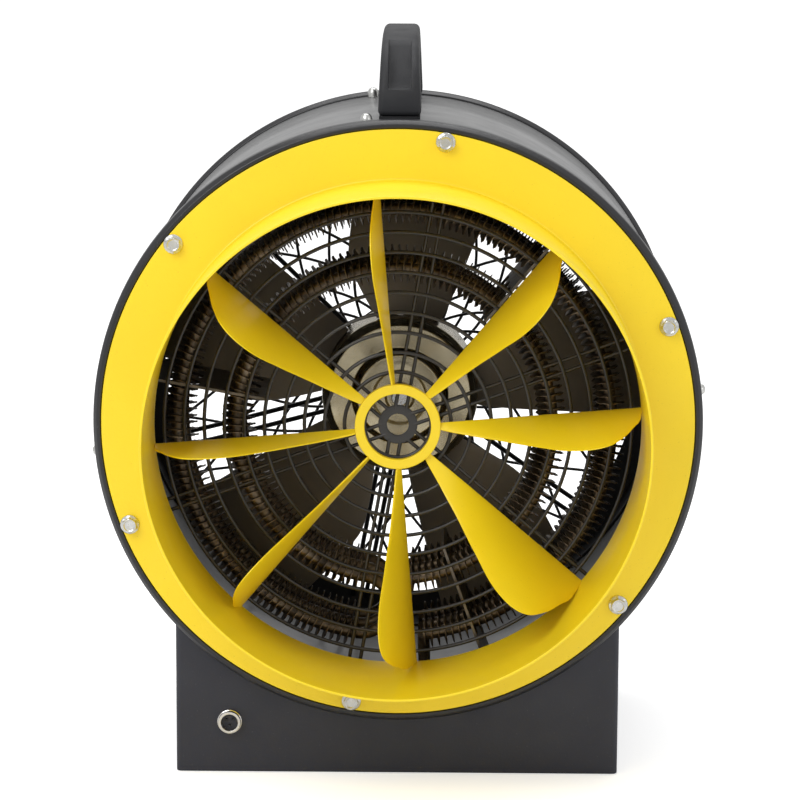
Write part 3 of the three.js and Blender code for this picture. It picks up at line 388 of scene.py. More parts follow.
ROUND_STEPS = 224
SHEET_EDGE = 0.4  # rounding of a sheet's edges
RIM_PROFILE = [  # radius, place along the airway, own rounding
    (221.7, 118.3), (223.7, 118.3), (223.7, 138.3), (227.2, 138.3, 1.2), (230, 142.5, 3.5),
    (229.5, 150.2, 4), (226.4, 154, 1.4), (223.6, 154, 0.8), (223.4, 151.7, 0.3), (200.7, 151.7, 0.6),
    (200.7, 149.7, 0.6), (221.7, 149.7),
]

shell = Shape()
shell.turned(fillet([
    (DRUM - DRUM_WALL, -DRUM_END), (DRUM, -DRUM_END), (DRUM, DRUM_END), (DRUM - DRUM_WALL, DRUM_END),
], SHEET_EDGE), ROUND_STEPS)
shell.build("drum_sheet", drum_paint, slot="charcoal_enamel", stands_for=("drum_shell",))


def rim(name, side, node):
    """One end ring: skirt, rolled rim, groove and inward flange."""
    ring = Shape()
    ring.turned([(r, z * side) for r, z in fillet(RIM_PROFILE, SHEET_EDGE)], ROUND_STEPS)
    ring.build(name, black, slot="black_enamel", stands_for=(node,))


rim("front_rim", 1, "front_end_ring")
rim("rear_rim", -1, "rear_end_ring")


def local_frame(point, outward, twist):
    """Maps local mm (x, y, z), z outward, to metres at a point."""
    turn = outward.normalized().to_track_quat("Z", "Y")
    spin = Matrix.Rotation(twist, 3, "Z")

    def place(x, y, z):
        return point + turn @ (spin @ Vector((x, y, z))) * MM

    return place


def pan_head(name, point, outward, radius, height, twist, stands_for=()):
    """A domed screw head with a cross recess."""
    place = local_frame(point, outward, twist)
    steps, levels = 40, 14
    cross, cross_edge, cross_reach = 0.09 * radius, 0.07 * radius, 0.55 * radius
    head = Shape()
    rows = []
    rows.append([place(radius * math.cos(t), radius * math.sin(t), 0)
                 for t in (2 * math.pi * i / steps for i in range(steps))])
    for k in range(levels, -1, -1):
        share = k / levels
        r = radius * share
        dome = height * (1 - 0.3 * share**2 - 0.25 * share**8)
        row = []
        for i in range(steps):
            t = 2 * math.pi * i / steps
            x, y = r * math.cos(t), r * math.sin(t)
            arm = min(abs(x), abs(y))
            inside = max(0.0, 1 - max(0.0, arm - cross) / cross_edge) if r < cross_reach else 0
            row.append(place(x, y, dome - inside * height * 0.45))
        rows.append(row)
    head.grid(rows, wrap_columns=True)
    head.faces.append(tuple(range(steps)))
    head.build(name, zinc, slot="zinc_fasteners", stands_for=stands_for)


RIM_SCREWS = (-6.2, 83.8, -96.2)  # degrees
RIM_SCREW_PLACE, RIM_SCREW_RADIUS, RIM_SCREW_HEIGHT = 127.3, 4.5, 8
for end, side in (("front", 1), ("rear", -1)):
    for i, degrees in enumerate(RIM_SCREWS):
        spot = around(DRUM + 0.1, degrees, side * RIM_SCREW_PLACE)
        away = spot - at(0, 0, side * RIM_SCREW_PLACE)
        pan_head(f"{end}_rim_screw_{i + 1}", spot, away, RIM_SCREW_RADIUS, RIM_SCREW_HEIGHT,
                 random.uniform(0, SCREW_TURN), (f"{end}_ring_screw_{i + 1}",))


# ---------------------------------------------------------------- outlet collar and bolts

collar = Shape()
collar.turned(fillet([
    (COLLAR, FLANGE_BACK, 0.3), (FLANGE, FLANGE_BACK, 0.5), (FLANGE, FACE, 0.8),
    (COLLAR + COLLAR_WALL, FACE, 2.2), (COLLAR + COLLAR_WALL, COLLAR_END, 0.7), (COLLAR, COLLAR_END, 0.7),
], 0.5, 5), 256)
collar.build("collar_body", yellow, slot="yellow_enamel", stands_for=("outlet_collar",))

hub = Shape()
hub.turned(fillet([(HUB_BORE, FLANGE_BACK), (HUB, FLANGE_BACK), (HUB, FLANGE_BACK + HUB_LENGTH),
                   (HUB_BORE, FLANGE_BACK + HUB_LENGTH)], 0.8), 96)
hub.build("hub_ring", yellow, slot="yellow_enamel", stands_for=("vane_hub_ring",))


def hex_bolt(name, point, twist, stands_for):
    """Hexagon head with a chamfered top on a washer face."""
    place = local_frame(point, Vector((0, -1, 0)), twist)
    bolt = Shape()
    steps = 72
    apothem = 5.0

    def hexagon(t):
        part = (t + math.pi / 6) % (math.pi / 3) - math.pi / 6
        return apothem / math.cos(part)

    levels = [  # radius at an angle, height
        (lambda t: 7.0, 0.0), (lambda t: 7.25, 0.3), (lambda t: 7.25, 0.9), (lambda t: 6.9, 1.3),
        (lambda t: hexagon(t) + 0.35, 1.75), (hexagon, 2.1), (hexagon, 5.2),
        (lambda t: min(hexagon(t), 5.55), 5.75), (lambda t: min(hexagon(t), 4.9), 6.2),
        (lambda t: 4.3, 6.2), (lambda t: 3.6, 5.75), (lambda t: 0.02, 5.7),
    ]
    rows = [[place(radius(t) * math.cos(t), radius(t) * math.sin(t), z)
             for t in (2 * math.pi * i / steps for i in range(steps))] for radius, z in levels]
    bolt.grid(rows, wrap_columns=True, cap=True)
    bolt.build(name, zinc, sharp=28, slot="zinc_fasteners", stands_for=stands_for)


BOLTS, BOLT_CIRCLE, BOLT_FIRST = 6, 216.3, 9.2
for i in range(BOLTS):
    seat = around(BOLT_CIRCLE, BOLT_FIRST + 360 / BOLTS * i, FACE + 0.05)
    hex_bolt(f"flange_bolt_{i + 1}", seat, random.uniform(0, 1), (f"outlet_bolt_{i + 1}",))


# ---------------------------------------------------------------- guide vanes

# Shares of the span and of the widest chord along a leaf's front edge
LEAF = [(0, 0.066), (0.15, 0.176), (0.3, 0.342), (0.45, 0.592), (0.6, 0.88), (0.72, 1), (0.82, 0.954),
        (0.9, 0.738), (0.95, 0.507), (0.985, 0.346), (1, 0.113)]
VANES = [  # twist of the leaf, extra twist at its root, cup; degrees
    (-4.3, -14.7, 4), (9.9, 39, 5), (6.3, 49, 5), (21.9, 63, 6), (15, 22, 7), (13.6, 8.6, 6), (2.6, -30, 4),
    (-8.8, -50, 4),
]
VANE_FIRST = -4.7  # degrees
VANE_ROOT, VANE_TIP, VANE_BACK = 32.2, 182.6, 153.6
VANE_CHORD, VANE_WALL = 90, 1.5


def blend_through(table, x):
    """Smooth value of a table at x."""
    for i in range(len(table) - 1):
        (x0, y0), (x1, y1) = table[i], table[i + 1]
        if x <= x1:
            y_before = table[max(0, i - 1)]
            y_after = table[min(len(table) - 1, i + 2)]
            m0 = (y1 - y_before[1]) / (x1 - y_before[0])
            m1 = (y_after[1] - y0) / (y_after[0] - x0)
            h = x1 - x0
            t = (x - x0) / h
            return (y0 * (1 + 2 * t) * (1 - t) ** 2 + m0 * h * t * (1 - t) ** 2
                    + y1 * t * t * (3 - 2 * t) + m1 * h * t * t * (t - 1))
    return table[-1][1]


def vane(index):
    """A leaf that twists from its root at the hub ring to its tip at the collar."""
    twist, root_twist, cup = VANES[index]
    turn = math.radians(VANE_FIRST + 360 / len(VANES) * index)
    across, along = 64, 28
    middle = []
    for i in range(across + 1):
        u = i / across
        u = u - 0.12 * math.sin(2 * math.pi * u) / (2 * math.pi)  # finer steps at both ends
        radius = VANE_ROOT + (VANE_TIP - VANE_ROOT) * u
        chord = VANE_CHORD * max(0.05, blend_through(LEAF, u))
        lean = math.radians(twist + root_twist * (1 - u) ** 3)
        curl = math.radians(cup) * math.copysign(1, twist)
        x, z = 0.0, VANE_BACK
        row = []
        for j in range(along + 1):
            t = j / along
            row.append((x, radius, z))
            angle = lean + curl * (2 * (t + 0.5 / along) - 1)
            x += chord / along * math.sin(angle)
            z += chord / along * math.cos(angle)
        middle.append(row)

    def normal(i, j):
        a = Vector(middle[min(i + 1, across)][j]) - Vector(middle[max(i - 1, 0)][j])
        b = Vector(middle[i][min(j + 1, along)]) - Vector(middle[i][max(j - 1, 0)])
        return a.cross(b).normalized()

    def face(side):
        rows = []
        for i in range(across + 1):
            row = []
            for j in range(along + 1):
                edge = min(j, along - j)
                half = VANE_WALL / 2 * (0.45 if edge == 0 else 0.85 if edge == 1 else 1)
                p = Vector(middle[i][j]) + normal(i, j) * half * side
                x = p.x * math.cos(turn) + p.y * math.sin(turn)
                y = -p.x * math.sin(turn) + p.y * math.cos(turn)
                row.append(at(x, y, p.z))
            rows.append(row)
        return rows

    leaf = Shape()
    rows = [top + bottom[::-1] for top, bottom in zip(face(1), face(-1))]
    leaf.grid(rows, wrap_columns=True, cap=True)
    leaf.build(f"vane_{index + 1}", yellow, sharp=55, slot="yellow_enamel",
               stands_for=(f"guide_vane_{index + 1}",))


for index in range(len(VANES)):
    vane(index)


# ---------------------------------------------------------------- guards

WIRE, WIRE_RINGS, WIRE_PITCH, WIRE_FIRST = 2.9, 12, 15.1, 25.1
GUARD_RIM, GUARD_PLANE, GUARD_SPOKES = 208.4, 148.0, 146.4

guard = Shape()
for k in range(WIRE_RINGS):
    guard.ring(WIRE_FIRST + WIRE_PITCH * k, WIRE, GUARD_PLANE, 96 + 8 * k, 8)
guard.ring(GUARD_RIM, WIRE, GUARD_PLANE, 200, 8)
for k in range(SPOKES):
    for side in (-4.2, 4.2):
        ends = [spoke_point(k, side, radius, GUARD_SPOKES) for radius in (11.5, GUARD_RIM)]
        guard.sweep(ends, WIRE / 2, 10)
guard.turned(fillet([(8.2, 144.8), (14.8, 144.8), (14.8, 147.6), (8.2, 147.6)], 0.6), 64)
guard.build("outlet_guard", wire_paint, slot="guard_wire", stands_for=("front_guard",))

BACK_RIM, BACK_EYE, BACK_WIRE = 211.2, 48, 3.4
BACK_PLANES = {1: -153.7, -1: -155.6}  # wires that curve each way
CURVES, CURVE_SWEEP, CURVE_WIRE, CURVE_STEPS = 24, 46, 2.5, 24

back_guard = Shape()
back_guard.ring(BACK_RIM, BACK_WIRE, BACK_PLANES[1], 200, 10)
back_guard.ring(BACK_EYE, BACK_WIRE, BACK_PLANES[1], 96, 10)
for k in range(CURVES):
    for way, z in BACK_PLANES.items():
        line = []
        for i in range(CURVE_STEPS + 1):
            t = i / CURVE_STEPS
            sweep_angle = way * CURVE_SWEEP * (1 - (1 - t) ** 1.7)
            line.append(around(BACK_EYE + (BACK_RIM - BACK_EYE) * t, 360 / CURVES * k + sweep_angle, z))
        back_guard.sweep(line, CURVE_WIRE / 2, 8)
back_guard.build("intake_guard", wire_paint, slot="guard_wire", stands_for=("rear_guard",))


# ---------------------------------------------------------------- heating elements

SHIFT = (-3.0, -4.0)  # the rings hang a little low and to the left
OUTER_TURN, INNER_TURN = 165, 120
OUTER_SPAN, INNER_SPAN, HAIRPIN = (172, -170), (174, -170), (190, 10)  # first and last degree of a turn
ELEMENTS, ELEMENT_FRONT, ELEMENT_STEP = 3, 128.0, 30  # count, plane of the first, distance apart
TUBE, CORE = 4.5, 4.6  # radius of the bare sheath, and below the fins
FIN, FIN_PITCH, FIN_STEPS = 10.9, 5.4, 18
TERMINALS = (((12.5, -119.3), 0), ((23.0, -163.4), 24))  # where a turn ends, and x of its leg
LEG_BEND, LEG_TOP, LEG_END, LEG_BACK = -200, -212, -252, -22  # heights from the axis, and the leg's setback


def element_line(step, bare_only=False):
    """Points of an element's finned turns, or of its bare hairpin, in its own plane."""
    def arc(cx, cy, radius, start, end):
        count = max(2, int(abs(math.radians(end - start)) * radius / step))
        made = []
        for i in range(count + 1):
            t = math.radians(start + (end - start) * i / count)
            made.append((cx + radius * math.sin(t), cy + radius * math.cos(t)))
        return made

    middle, reach = (OUTER_TURN + INNER_TURN) / 2, (OUTER_TURN - INNER_TURN) / 2
    bend = math.radians(HAIRPIN[0])
    if bare_only:
        return arc(middle * math.sin(bend), middle * math.cos(bend), reach, *HAIRPIN)
    return arc(0, 0, OUTER_TURN, *OUTER_SPAN), arc(0, 0, INNER_TURN, *INNER_SPAN)


def heating(index):
    """One element: two finned turns, the bare hairpin between them and its two legs."""
    plane = ELEMENT_FRONT - ELEMENT_STEP * index
    dx, dy = SHIFT
    piece = Shape()

    def spot(x, y, z=0.0):
        return at(x + dx, y + dy, plane + z)

    for turn_points in element_line(6):
        piece.sweep([spot(x, y) for x, y in turn_points], CORE, 10)
    piece.sweep([spot(x, y) for x, y in element_line(3, True)], TUBE, 14)
    for start, end in TERMINALS:
        path = [spot(*start), spot((start[0] + end) / 2, (start[1] + LEG_BEND) / 2, -9),
                spot(end, LEG_BEND, LEG_BACK + 2), spot(end, LEG_TOP, LEG_BACK),
                at(end, LEG_END, plane + LEG_BACK)]
        piece.sweep(path, TUBE, 14)
    # the fins are one sheet wound round the sheath
    for turn_points in element_line(FIN_PITCH / FIN_STEPS):
        rows = []
        count = len(turn_points)
        for i in range(count):
            x0, y0 = turn_points[max(0, i - 2)]
            x1, y1 = turn_points[min(count - 1, i + 2)]
            along = Vector((x1 - x0, y1 - y0, 0)).normalized()
            out = Vector((along.y, -along.x, 0))
            up = Vector((0, 0, 1))
            angle = 2 * math.pi * i / FIN_STEPS
            ray = out * math.cos(angle) + up * math.sin(angle)
            centre = Vector((*turn_points[i], 0))
            crimp = 0.35 * math.sin(7 * angle)
            row = []
            for radius, offset in ((4.4, -0.55), (FIN, crimp - 0.28), (FIN, crimp + 0.28), (4.4, 0.55)):
                p = centre + ray * radius + along * offset
                row.append(spot(p.x, p.y, p.z))
            rows.append(row)
        piece.grid(rows, wrap_columns=True, cap=True)
    piece.build(f"element_{index + 1}", element_steel, sharp=50, slot="element_sheath",
                stands_for=(f"heating_element_{index + 1}",))


for index in range(ELEMENTS):
    heating(index)


# ---------------------------------------------------------------- fan, motor and mount

FAN = -5.0  # middle plane of the fan
BLADES, BLADE_FIRST, BLADE_PITCH = 5, 6, 24  # count, degrees, degrees
BLADE_ROOT, BLADE_TIP, BLADE_HALF = 62.5, 199, 1.0  # radii, half the thickness
BLADE_CAMBER, TRAIL_ROOT, TRAIL_TIP = 5.0, 28, 72  # the last two: trailing edge from the middle line
ROTOR_PROFILE = [  # radius, distance ahead of the fan's plane, own rounding
    (6.3, 13), (14, 13), (14, 22), (58, 22), (58, -36), (62, -36), (62, 20, 5), (56, 26, 3), (38, 26, 2),
    (34, 35, 3), (22, 35, 1), (20, 32.5, 1), (12, 32.5, 1), (10, 35, 1), (6.3, 35),
]

rotor = Shape()
rotor.turned([(r, z + FAN) for r, z in fillet(ROTOR_PROFILE, 0.6, 6)], 128)
rotor.build("rotor", aluminium, body="fan", slot="cast_aluminium", stands_for=("fan_hub",))


# Shares of a blade's reach and the distance of its leading edge from its middle line, mm
LEAD = [(0, 27), (0.15, 40), (0.28, 50), (0.4, 57), (0.55, 58), (0.75, 57), (0.9, 54), (1, 46)]


def blade(index):
    """A cambered blade whose foot follows the rotor."""
    turn = math.radians(BLADE_FIRST + 360 / BLADES * index)
    pitch = math.radians(BLADE_PITCH)
    across, along = 26, 30
    rows_mid = []
    for i in range(along + 1):
        u = i / along
        radius = BLADE_ROOT + (BLADE_TIP - BLADE_ROOT) * u
        lead = -blend_through(LEAD, u)
        trail = TRAIL_ROOT * (1 - u) ** 1.2 + TRAIL_TIP * u**0.9
        row = []
        for j in range(across + 1):
            v = j / across
            x = lead + (trail - lead) * v
            flat = x * math.cos(pitch)
            y = math.sqrt(max(1.0, radius * radius - flat * flat))
            z = -x * math.sin(pitch) + BLADE_CAMBER * math.sin(math.pi * v) * (0.4 + 0.6 * u)
            row.append((flat, y, z))
        rows_mid.append(row)

    def face(side):
        rows = []
        for i in range(along + 1):
            row = []
            for j in range(across + 1):
                a = Vector(rows_mid[min(i + 1, along)][j]) - Vector(rows_mid[max(i - 1, 0)][j])
                b = Vector(rows_mid[i][min(j + 1, across)]) - Vector(rows_mid[i][max(j - 1, 0)])
                edge = min(j, across - j, along - i)
                half = BLADE_HALF * (0.4 if edge == 0 else 1)
                p = Vector(rows_mid[i][j]) + a.cross(b).normalized() * half * side
                x = p.x * math.cos(turn) + p.y * math.sin(turn)
                y = -p.x * math.sin(turn) + p.y * math.cos(turn)
                row.append(at(x, y, p.z + FAN))
            rows.append(row)
        return rows

    piece = Shape()
    piece.grid([top + bottom[::-1] for top, bottom in zip(face(1), face(-1))], wrap_columns=True, cap=True)
    piece.build(f"blade_{index + 1}", blade_paint, body="fan", sharp=50, slot="blade_enamel",
                stands_for=(f"fan_blade_{index + 1}",))


for index in range(BLADES):
    blade(index)

ROD_PATH = ((44, -57.3), (60, -62), (150, -110), (196, -140), (207.7, -146.4))  # radius, place
ROD_RADIUS = 2.0
TAB_SECTION = ((-7.8, -149.3), (7.8, -149.3), (7.8, -146.6), (-7.8, -146.6))

mount = Shape()
mount.turned(fillet([(0.5, -58.3), (52, -58.3), (52, -54.3), (0.5, -54.3)], 0.8), 96)
for k in range(SPOKES):
    for side in (-5.5, 5.5):
        mount.sweep([spoke_point(k, side, radius, z) for radius, z in ROD_PATH], ROD_RADIUS, 14)
    mount.grid([[spoke_point(k, side, radius, z) for side, z in TAB_SECTION] for radius in (201.2, 214.2)],
               wrap_columns=True, cap=True)
mount_piece = mount.build("motor_carrier", mount_paint, slot="mount_enamel", stands_for=("motor_mount",))
bevel(mount_piece, "edges", 0.4, 2, 1.0)


# ---------------------------------------------------------------- handle

HANDLE_PLATE = 3.5  # plate between the handle and the drum
HANDLE_FOOT = AXIS + SEAT + HANDLE_PLATE
HANDLE_HEIGHT, HANDLE_HALF, GRIP_DEPTH = 61.0, 123.0, 22
HAND_HALF = 83.0  # half the length of the opening for the hand
FOOT_WIDTH, TOP_WIDTH, POCKET_WIDTH = 32.8, 27.6, 17.3
POCKET = ((4, 20), (-10, 20, 3), (-37, 50, 5), (-49, 62), (4, 62))  # from the end, height, own rounding


def arch(half, height, steps):
    """Points of an arch over a half length, from one foot to the other."""
    power = 2 / 3
    points = []
    for i in range(steps + 1):
        angle = math.pi * (1 - i / steps)
        along = math.copysign(abs(math.cos(angle)) ** power, math.cos(angle))
        points.append((half * along, height * abs(math.sin(angle)) ** power if 0 < i < steps else 0.0))
    return points


def handle():
    """An arched grip, narrower at its top, with slanted recesses in both legs."""
    side = arch(HANDLE_HALF, HANDLE_HEIGHT, 64) + arch(HAND_HALF, HANDLE_HEIGHT - GRIP_DEPTH, 48)[::-1]

    work = bmesh.new()
    left, right = [], []
    for y, z in side:
        width = (FOOT_WIDTH + (TOP_WIDTH - FOOT_WIDTH) * z / HANDLE_HEIGHT) / 2
        left.append(work.verts.new((-width * MM, y * MM, (HANDLE_FOOT + z) * MM)))
        right.append(work.verts.new((width * MM, y * MM, (HANDLE_FOOT + z) * MM)))
    work.faces.new(left)
    work.faces.new(right[::-1])
    for i in range(len(side)):
        k = (i + 1) % len(side)
        work.faces.new((left[i], right[i], right[k], left[k]))
    bmesh.ops.recalc_face_normals(work, faces=work.faces)
    mesh = bpy.data.meshes.new("grip")
    work.to_mesh(mesh)
    work.free()
    grip = finish_piece("grip", mesh, handle_plastic, sharp=30, slot="handle_plastic",
                        stands_for=("handle",))
    bevel(grip, "round", 4.2, 5, 1.0)
    outline = fillet([(HANDLE_HALF + corner[0], *corner[1:]) for corner in POCKET], 0, 5)
    for end in (1, -1):
        pocket = Shape()
        pocket.grid([[Vector((x, end * y, HANDLE_FOOT + z)) * MM for y, z in outline]
                     for x in (-POCKET_WIDTH / 2, POCKET_WIDTH / 2)], wrap_columns=True, cap=True)
        cutter = bpy.data.objects.new(f"pocket_{end}", pocket.mesh(f"pocket_{end}"))
        scene.collection.objects.link(cutter)
        modifier(grip, "BOOLEAN", f"pocket_{end}", operation="DIFFERENCE", object=cutter, solver="EXACT")
        bake(grip)
        bpy.data.objects.remove(cutter)
    bevel(grip, "soften", 0.6, 2, 0.9)
    bake(grip)
    grip.data.polygons.foreach_set("use_smooth", [True] * len(grip.data.polygons))
    grip.data.set_sharp_from_angle(angle=math.radians(35))


def bake(piece):
    """Applies a piece's modifiers to its own mesh."""
    graph = bpy.context.evaluated_depsgraph_get()
    made = bpy.data.meshes.new_from_object(piece.evaluated_get(graph))
    piece.modifiers.clear()
    piece.data = made


handle()


# ---------------------------------------------------------------- base

CORNER = 4.0  # rounding of the two upright front edges
WALLS_END = 128.7  # where the side walls stop, short of the rear panel
LIP, LIP_LEVEL, LIP_END = 12.0, 2.3, 128.0  # width and underside of the strips inside, and their rear end
FLANGE_DEPTH, STRIP_HALF = 14, 168.4  # of the flanges that follow the drum
PANEL_INSET = 0.4  # by which the rear panel is narrower on each side
ACROSS = 96  # steps across the base


def drum_edge(x):
    """Height above the floor of the seat under the drum at a sideways distance, mm."""
    return AXIS - math.sqrt(SEAT * SEAT - x * x)


def seat_strip(shape, half_width, outer, inner):
    """A flange that follows the drum, from one place in depth to another."""
    limit = math.degrees(math.asin(half_width / (SEAT + BASE_WALL)))
    section = ((SEAT, outer), (SEAT + BASE_WALL, outer), (SEAT + BASE_WALL, inner), (SEAT, inner))
    rows = []
    for i in range(ACROSS + 1):
        t = math.radians(180 - limit + 2 * limit * i / ACROSS)
        rows.append([Vector((r * math.sin(t), y, AXIS + r * math.cos(t))) * MM for r, y in section])
    shape.grid(rows, wrap_columns=True, cap=True)


def base():
    """Front and side walls in one bent sheet, the strips along their feet, and the flange under the drum."""
    side, front = HALF_W - CORNER, -HALF_D + CORNER  # centres of the rounded corners
    bends = 8
    quarter = [math.pi / 2 * i / bends for i in range(bends + 1)]
    path = [(-HALF_W, y) for y in (WALLS_END, 40, -40, front)]
    path += [(-side - CORNER * math.cos(t), front - CORNER * math.sin(t)) for t in quarter[1:]]
    path += [(-side + 2 * side * i / ACROSS, -HALF_D) for i in range(1, ACROSS)]
    path += [(side + CORNER * math.sin(t), front - CORNER * math.cos(t)) for t in quarter]
    path += [(HALF_W, y) for y in (-40, 40, WALLS_END)]
    rows = []
    for i, (x, y) in enumerate(path):
        x0, y0 = path[max(0, i - 1)]
        x1, y1 = path[min(len(path) - 1, i + 1)]
        along = Vector((x1 - x0, y1 - y0)).normalized()
        inward = Vector((-along.y, along.x)) * BASE_WALL
        top = drum_edge(min(abs(x), HALF_W))
        top_in = drum_edge(min(abs(x + inward.x), HALF_W))
        rows.append([Vector(p) * MM for p in (
            (x, y, 0), (x, y, top), (x + inward.x, y + inward.y, top_in), (x + inward.x, y + inward.y, 0))])
    walls = Shape()
    walls.grid(rows, wrap_columns=True, cap=True)
    # turned-in lips over the bottom plate
    wide, near = HALF_W - BASE_WALL, -HALF_D + BASE_WALL
    for x0, x1, y1 in ((-wide, LIP - wide, LIP_END), (wide - LIP, wide, LIP_END),
                       (LIP - wide, wide - LIP, near + LIP)):
        low = [Vector((*p, LIP_LEVEL)) * MM for p in ((x0, near), (x1, near), (x1, y1), (x0, y1))]
        high = [p + Vector((0, 0, BASE_WALL * MM)) for p in low]
        walls.grid([low, high], wrap_columns=True, cap=True)
    seat_strip(walls, STRIP_HALF, -HALF_D, -HALF_D + FLANGE_DEPTH)
    piece = walls.build("base_walls", charcoal, slot="charcoal_enamel", stands_for=("base_shell",), sharp=40)
    bevel(piece, "edges", 0.6, 3, 0.9)


base()


def rear_panel():
    """A flat panel with its own flange under the drum."""
    half = HALF_W - PANEL_INSET
    inside = HALF_D - BASE_WALL
    rows = []
    for i in range(ACROSS + 1):
        x = -half + 2 * half * i / ACROSS
        top = drum_edge(min(abs(x), HALF_W))
        rows.append([Vector((x, *p)) * MM for p in ((inside, 0), (inside, top), (HALF_D, top), (HALF_D, 0))])
    panel = Shape()
    panel.grid(rows, wrap_columns=True, cap=True)
    seat_strip(panel, STRIP_HALF - PANEL_INSET, HALF_D, HALF_D - FLANGE_DEPTH)
    piece = panel.build("back_panel", charcoal, slot="charcoal_enamel", stands_for=("rear_panel",), sharp=40)
    bevel(piece, "edges", 0.6, 3, 0.9)


rear_panel()


# ---------------------------------------------------------------- sensor socket

SOCKET = (-129.0, 40.3)  # sideways, above the floor
SOCKET_PINS, SOCKET_CIRCLE = 3, 3.2


def on_wall(spot, direction):
    """Maps local mm (x right, y up, z outward) at a spot of the front (1) or rear (-1) wall to metres."""
    def place(x, y, z):
        return Vector((spot[0] + x * direction, -(HALF_D + z) * direction, spot[1] + y)) * MM

    return place


def socket():
    """A round socket with a grooved collar, and its insert with three pins."""
    place = on_wall(SOCKET, 1)
    body = Shape()
    profile = [(6.5, -16, 0), (7.8, -16, 0), (7.8, 0.3, 0), (9.5, 0.3, 0.2), (9.5, 2.2, 0.3), (8.7, 2.6, 0.2)]
    for k in range(3):
        profile += [(8.7, 2.9 + 0.8 * k, 0.05), (8.35, 3.3 + 0.8 * k, 0.05)]
    profile += [(8.6, 5.5, 0.5), (6.5, 5.5, 0.4)]
    body.turned(fillet(profile, 0.3, 3), 72, place)
    body.build("socket_shell", nickel, slot="nickel_shell", stands_for=("sensor_socket",))
    core = Shape()
    core.turned(fillet([(0.02, -16, 0), (6.1, -16, 0), (6.1, -2.5, 0.4), (0.02, -2.5, 0)], 0.3), 48, place)
    for k in range(SOCKET_PINS):
        t = math.radians(60 + 360 / SOCKET_PINS * k)
        x, y = SOCKET_CIRCLE * math.sin(t), SOCKET_CIRCLE * math.cos(t)
        core.turned([(0.02, -3.5), (0.8, -3.5), (0.8, 1.6), (0.5, 2.0), (0.02, 2.0)], 16,
                    lambda a, b, c, x=x, y=y: place(a + x, b + y, c))
    core.build("socket_core", insulator, slot="insulator_plastic", stands_for=("socket_insert",))


socket()


# ---------------------------------------------------------------- controls

# Spots on the rear panel: sideways, above the floor
SELECTOR, THERMOSTAT, RESET, INLET = (118, 42), (62, 31), (14, 25), (-128, 37)
SELECTOR_KNOB, THERMOSTAT_KNOB = 42, 34  # diameters
TICK_GAP, TICK_LENGTH = 1.5, 3.2
INLET_HALF, INLET_PINS, INLET_CIRCLE, INLET_SCREWS = 32, 5, 15, 26
INLET_HEAD, PANEL_HEAD = (3.4, 2.2), (3.8, 2.4)  # radius and height of a screw's head
PANEL_SCREWS = ((-163, 62), (163, 62), (-163, 10), (163, 10), (60, 9), (-60, 9))


def knob(name, spot, diameter, body, node):
    """A knob with a grip bar and a line on it."""
    place = on_wall(spot, -1)
    piece = Shape()
    r = diameter / 2
    piece.turned(fillet([(0.02, 1, 0), (r, 1, 0.6), (r, 5, 1.2), (r - 3, 7, 1.5), (0.02, 7, 0)], 0.5), 72,
                 place)
    w = diameter * 0.11
    outline = fillet([(-w, -0.44 * diameter), (w, -0.44 * diameter), (w, 0.44 * diameter),
                      (-w, 0.44 * diameter)], w * 0.9, 6)
    piece.grid([[place(a * scale, b * (0.5 + 0.5 * scale), level) for a, b in outline]
                for level, scale in ((4, 1.12), (8, 1.0), (17.2, 0.9), (18.6, 0.84), (19, 0.7))],
               wrap_columns=True, cap=True)
    piece.sweep([place(0, 0, -12), place(0, 0, 3)], 3.0, 24)
    piece.build(name, knob_plastic, body=body, slot="knob_plastic", stands_for=(node,))
    line = Shape()
    line.grid([[place(a, b, level) for a, b in ((-0.6, 0.12 * diameter), (0.6, 0.12 * diameter),
                                               (0.6, 0.36 * diameter), (-0.6, 0.36 * diameter))]
               for level in (18.6, 19.15)], wrap_columns=True, cap=True)
    line.build(f"{name}_line", mark_paint, body=body, slot="knob_plastic")


knob("selector", SELECTOR, SELECTOR_KNOB, "selector", "selector_knob")
knob("thermostat_dial", THERMOSTAT, THERMOSTAT_KNOB, "thermostat", "thermostat_knob")


def ticks(name, spot, diameter, angles):
    """Short painted strokes round a knob."""
    place = on_wall(spot, -1)
    near = diameter / 2 + TICK_GAP
    far = near + TICK_LENGTH
    marks = Shape()
    for degrees in angles:
        t = math.radians(degrees)
        rows = []
        for level in (0.0, 0.08):
            row = []
            for a, b in ((-0.5, near), (0.5, near), (0.5, far), (-0.5, far)):
                x, y = a * math.cos(t) + b * math.sin(t), -a * math.sin(t) + b * math.cos(t)
                row.append(place(x, y, level))
            rows.append(row)
        marks.grid(rows, wrap_columns=True, cap=True)
    marks.build(name, mark_paint, slot="charcoal_enamel")


ticks("selector_scale", SELECTOR, SELECTOR_KNOB, (0, 45, 90, 135))
ticks("thermostat_scale", THERMOSTAT, THERMOSTAT_KNOB, range(0, 271, 30))

button = Shape()
button.turned(fillet([
    (0.02, -15, 0), (5.5, -15, 0), (5.5, -6.3, 0), (8, -6.3, 0), (8, -2.3, 0), (5.5, -2.3, 0),
    (5.5, 7, 1.2), (3.5, 7, 0.5), (3, 6.6, 0.4), (0.02, 6.6, 0),
], 0.3), 64, on_wall(RESET, -1))
button.build("reset_cap", red_plastic, body="reset", slot="button_plastic", stands_for=("reset_button",))


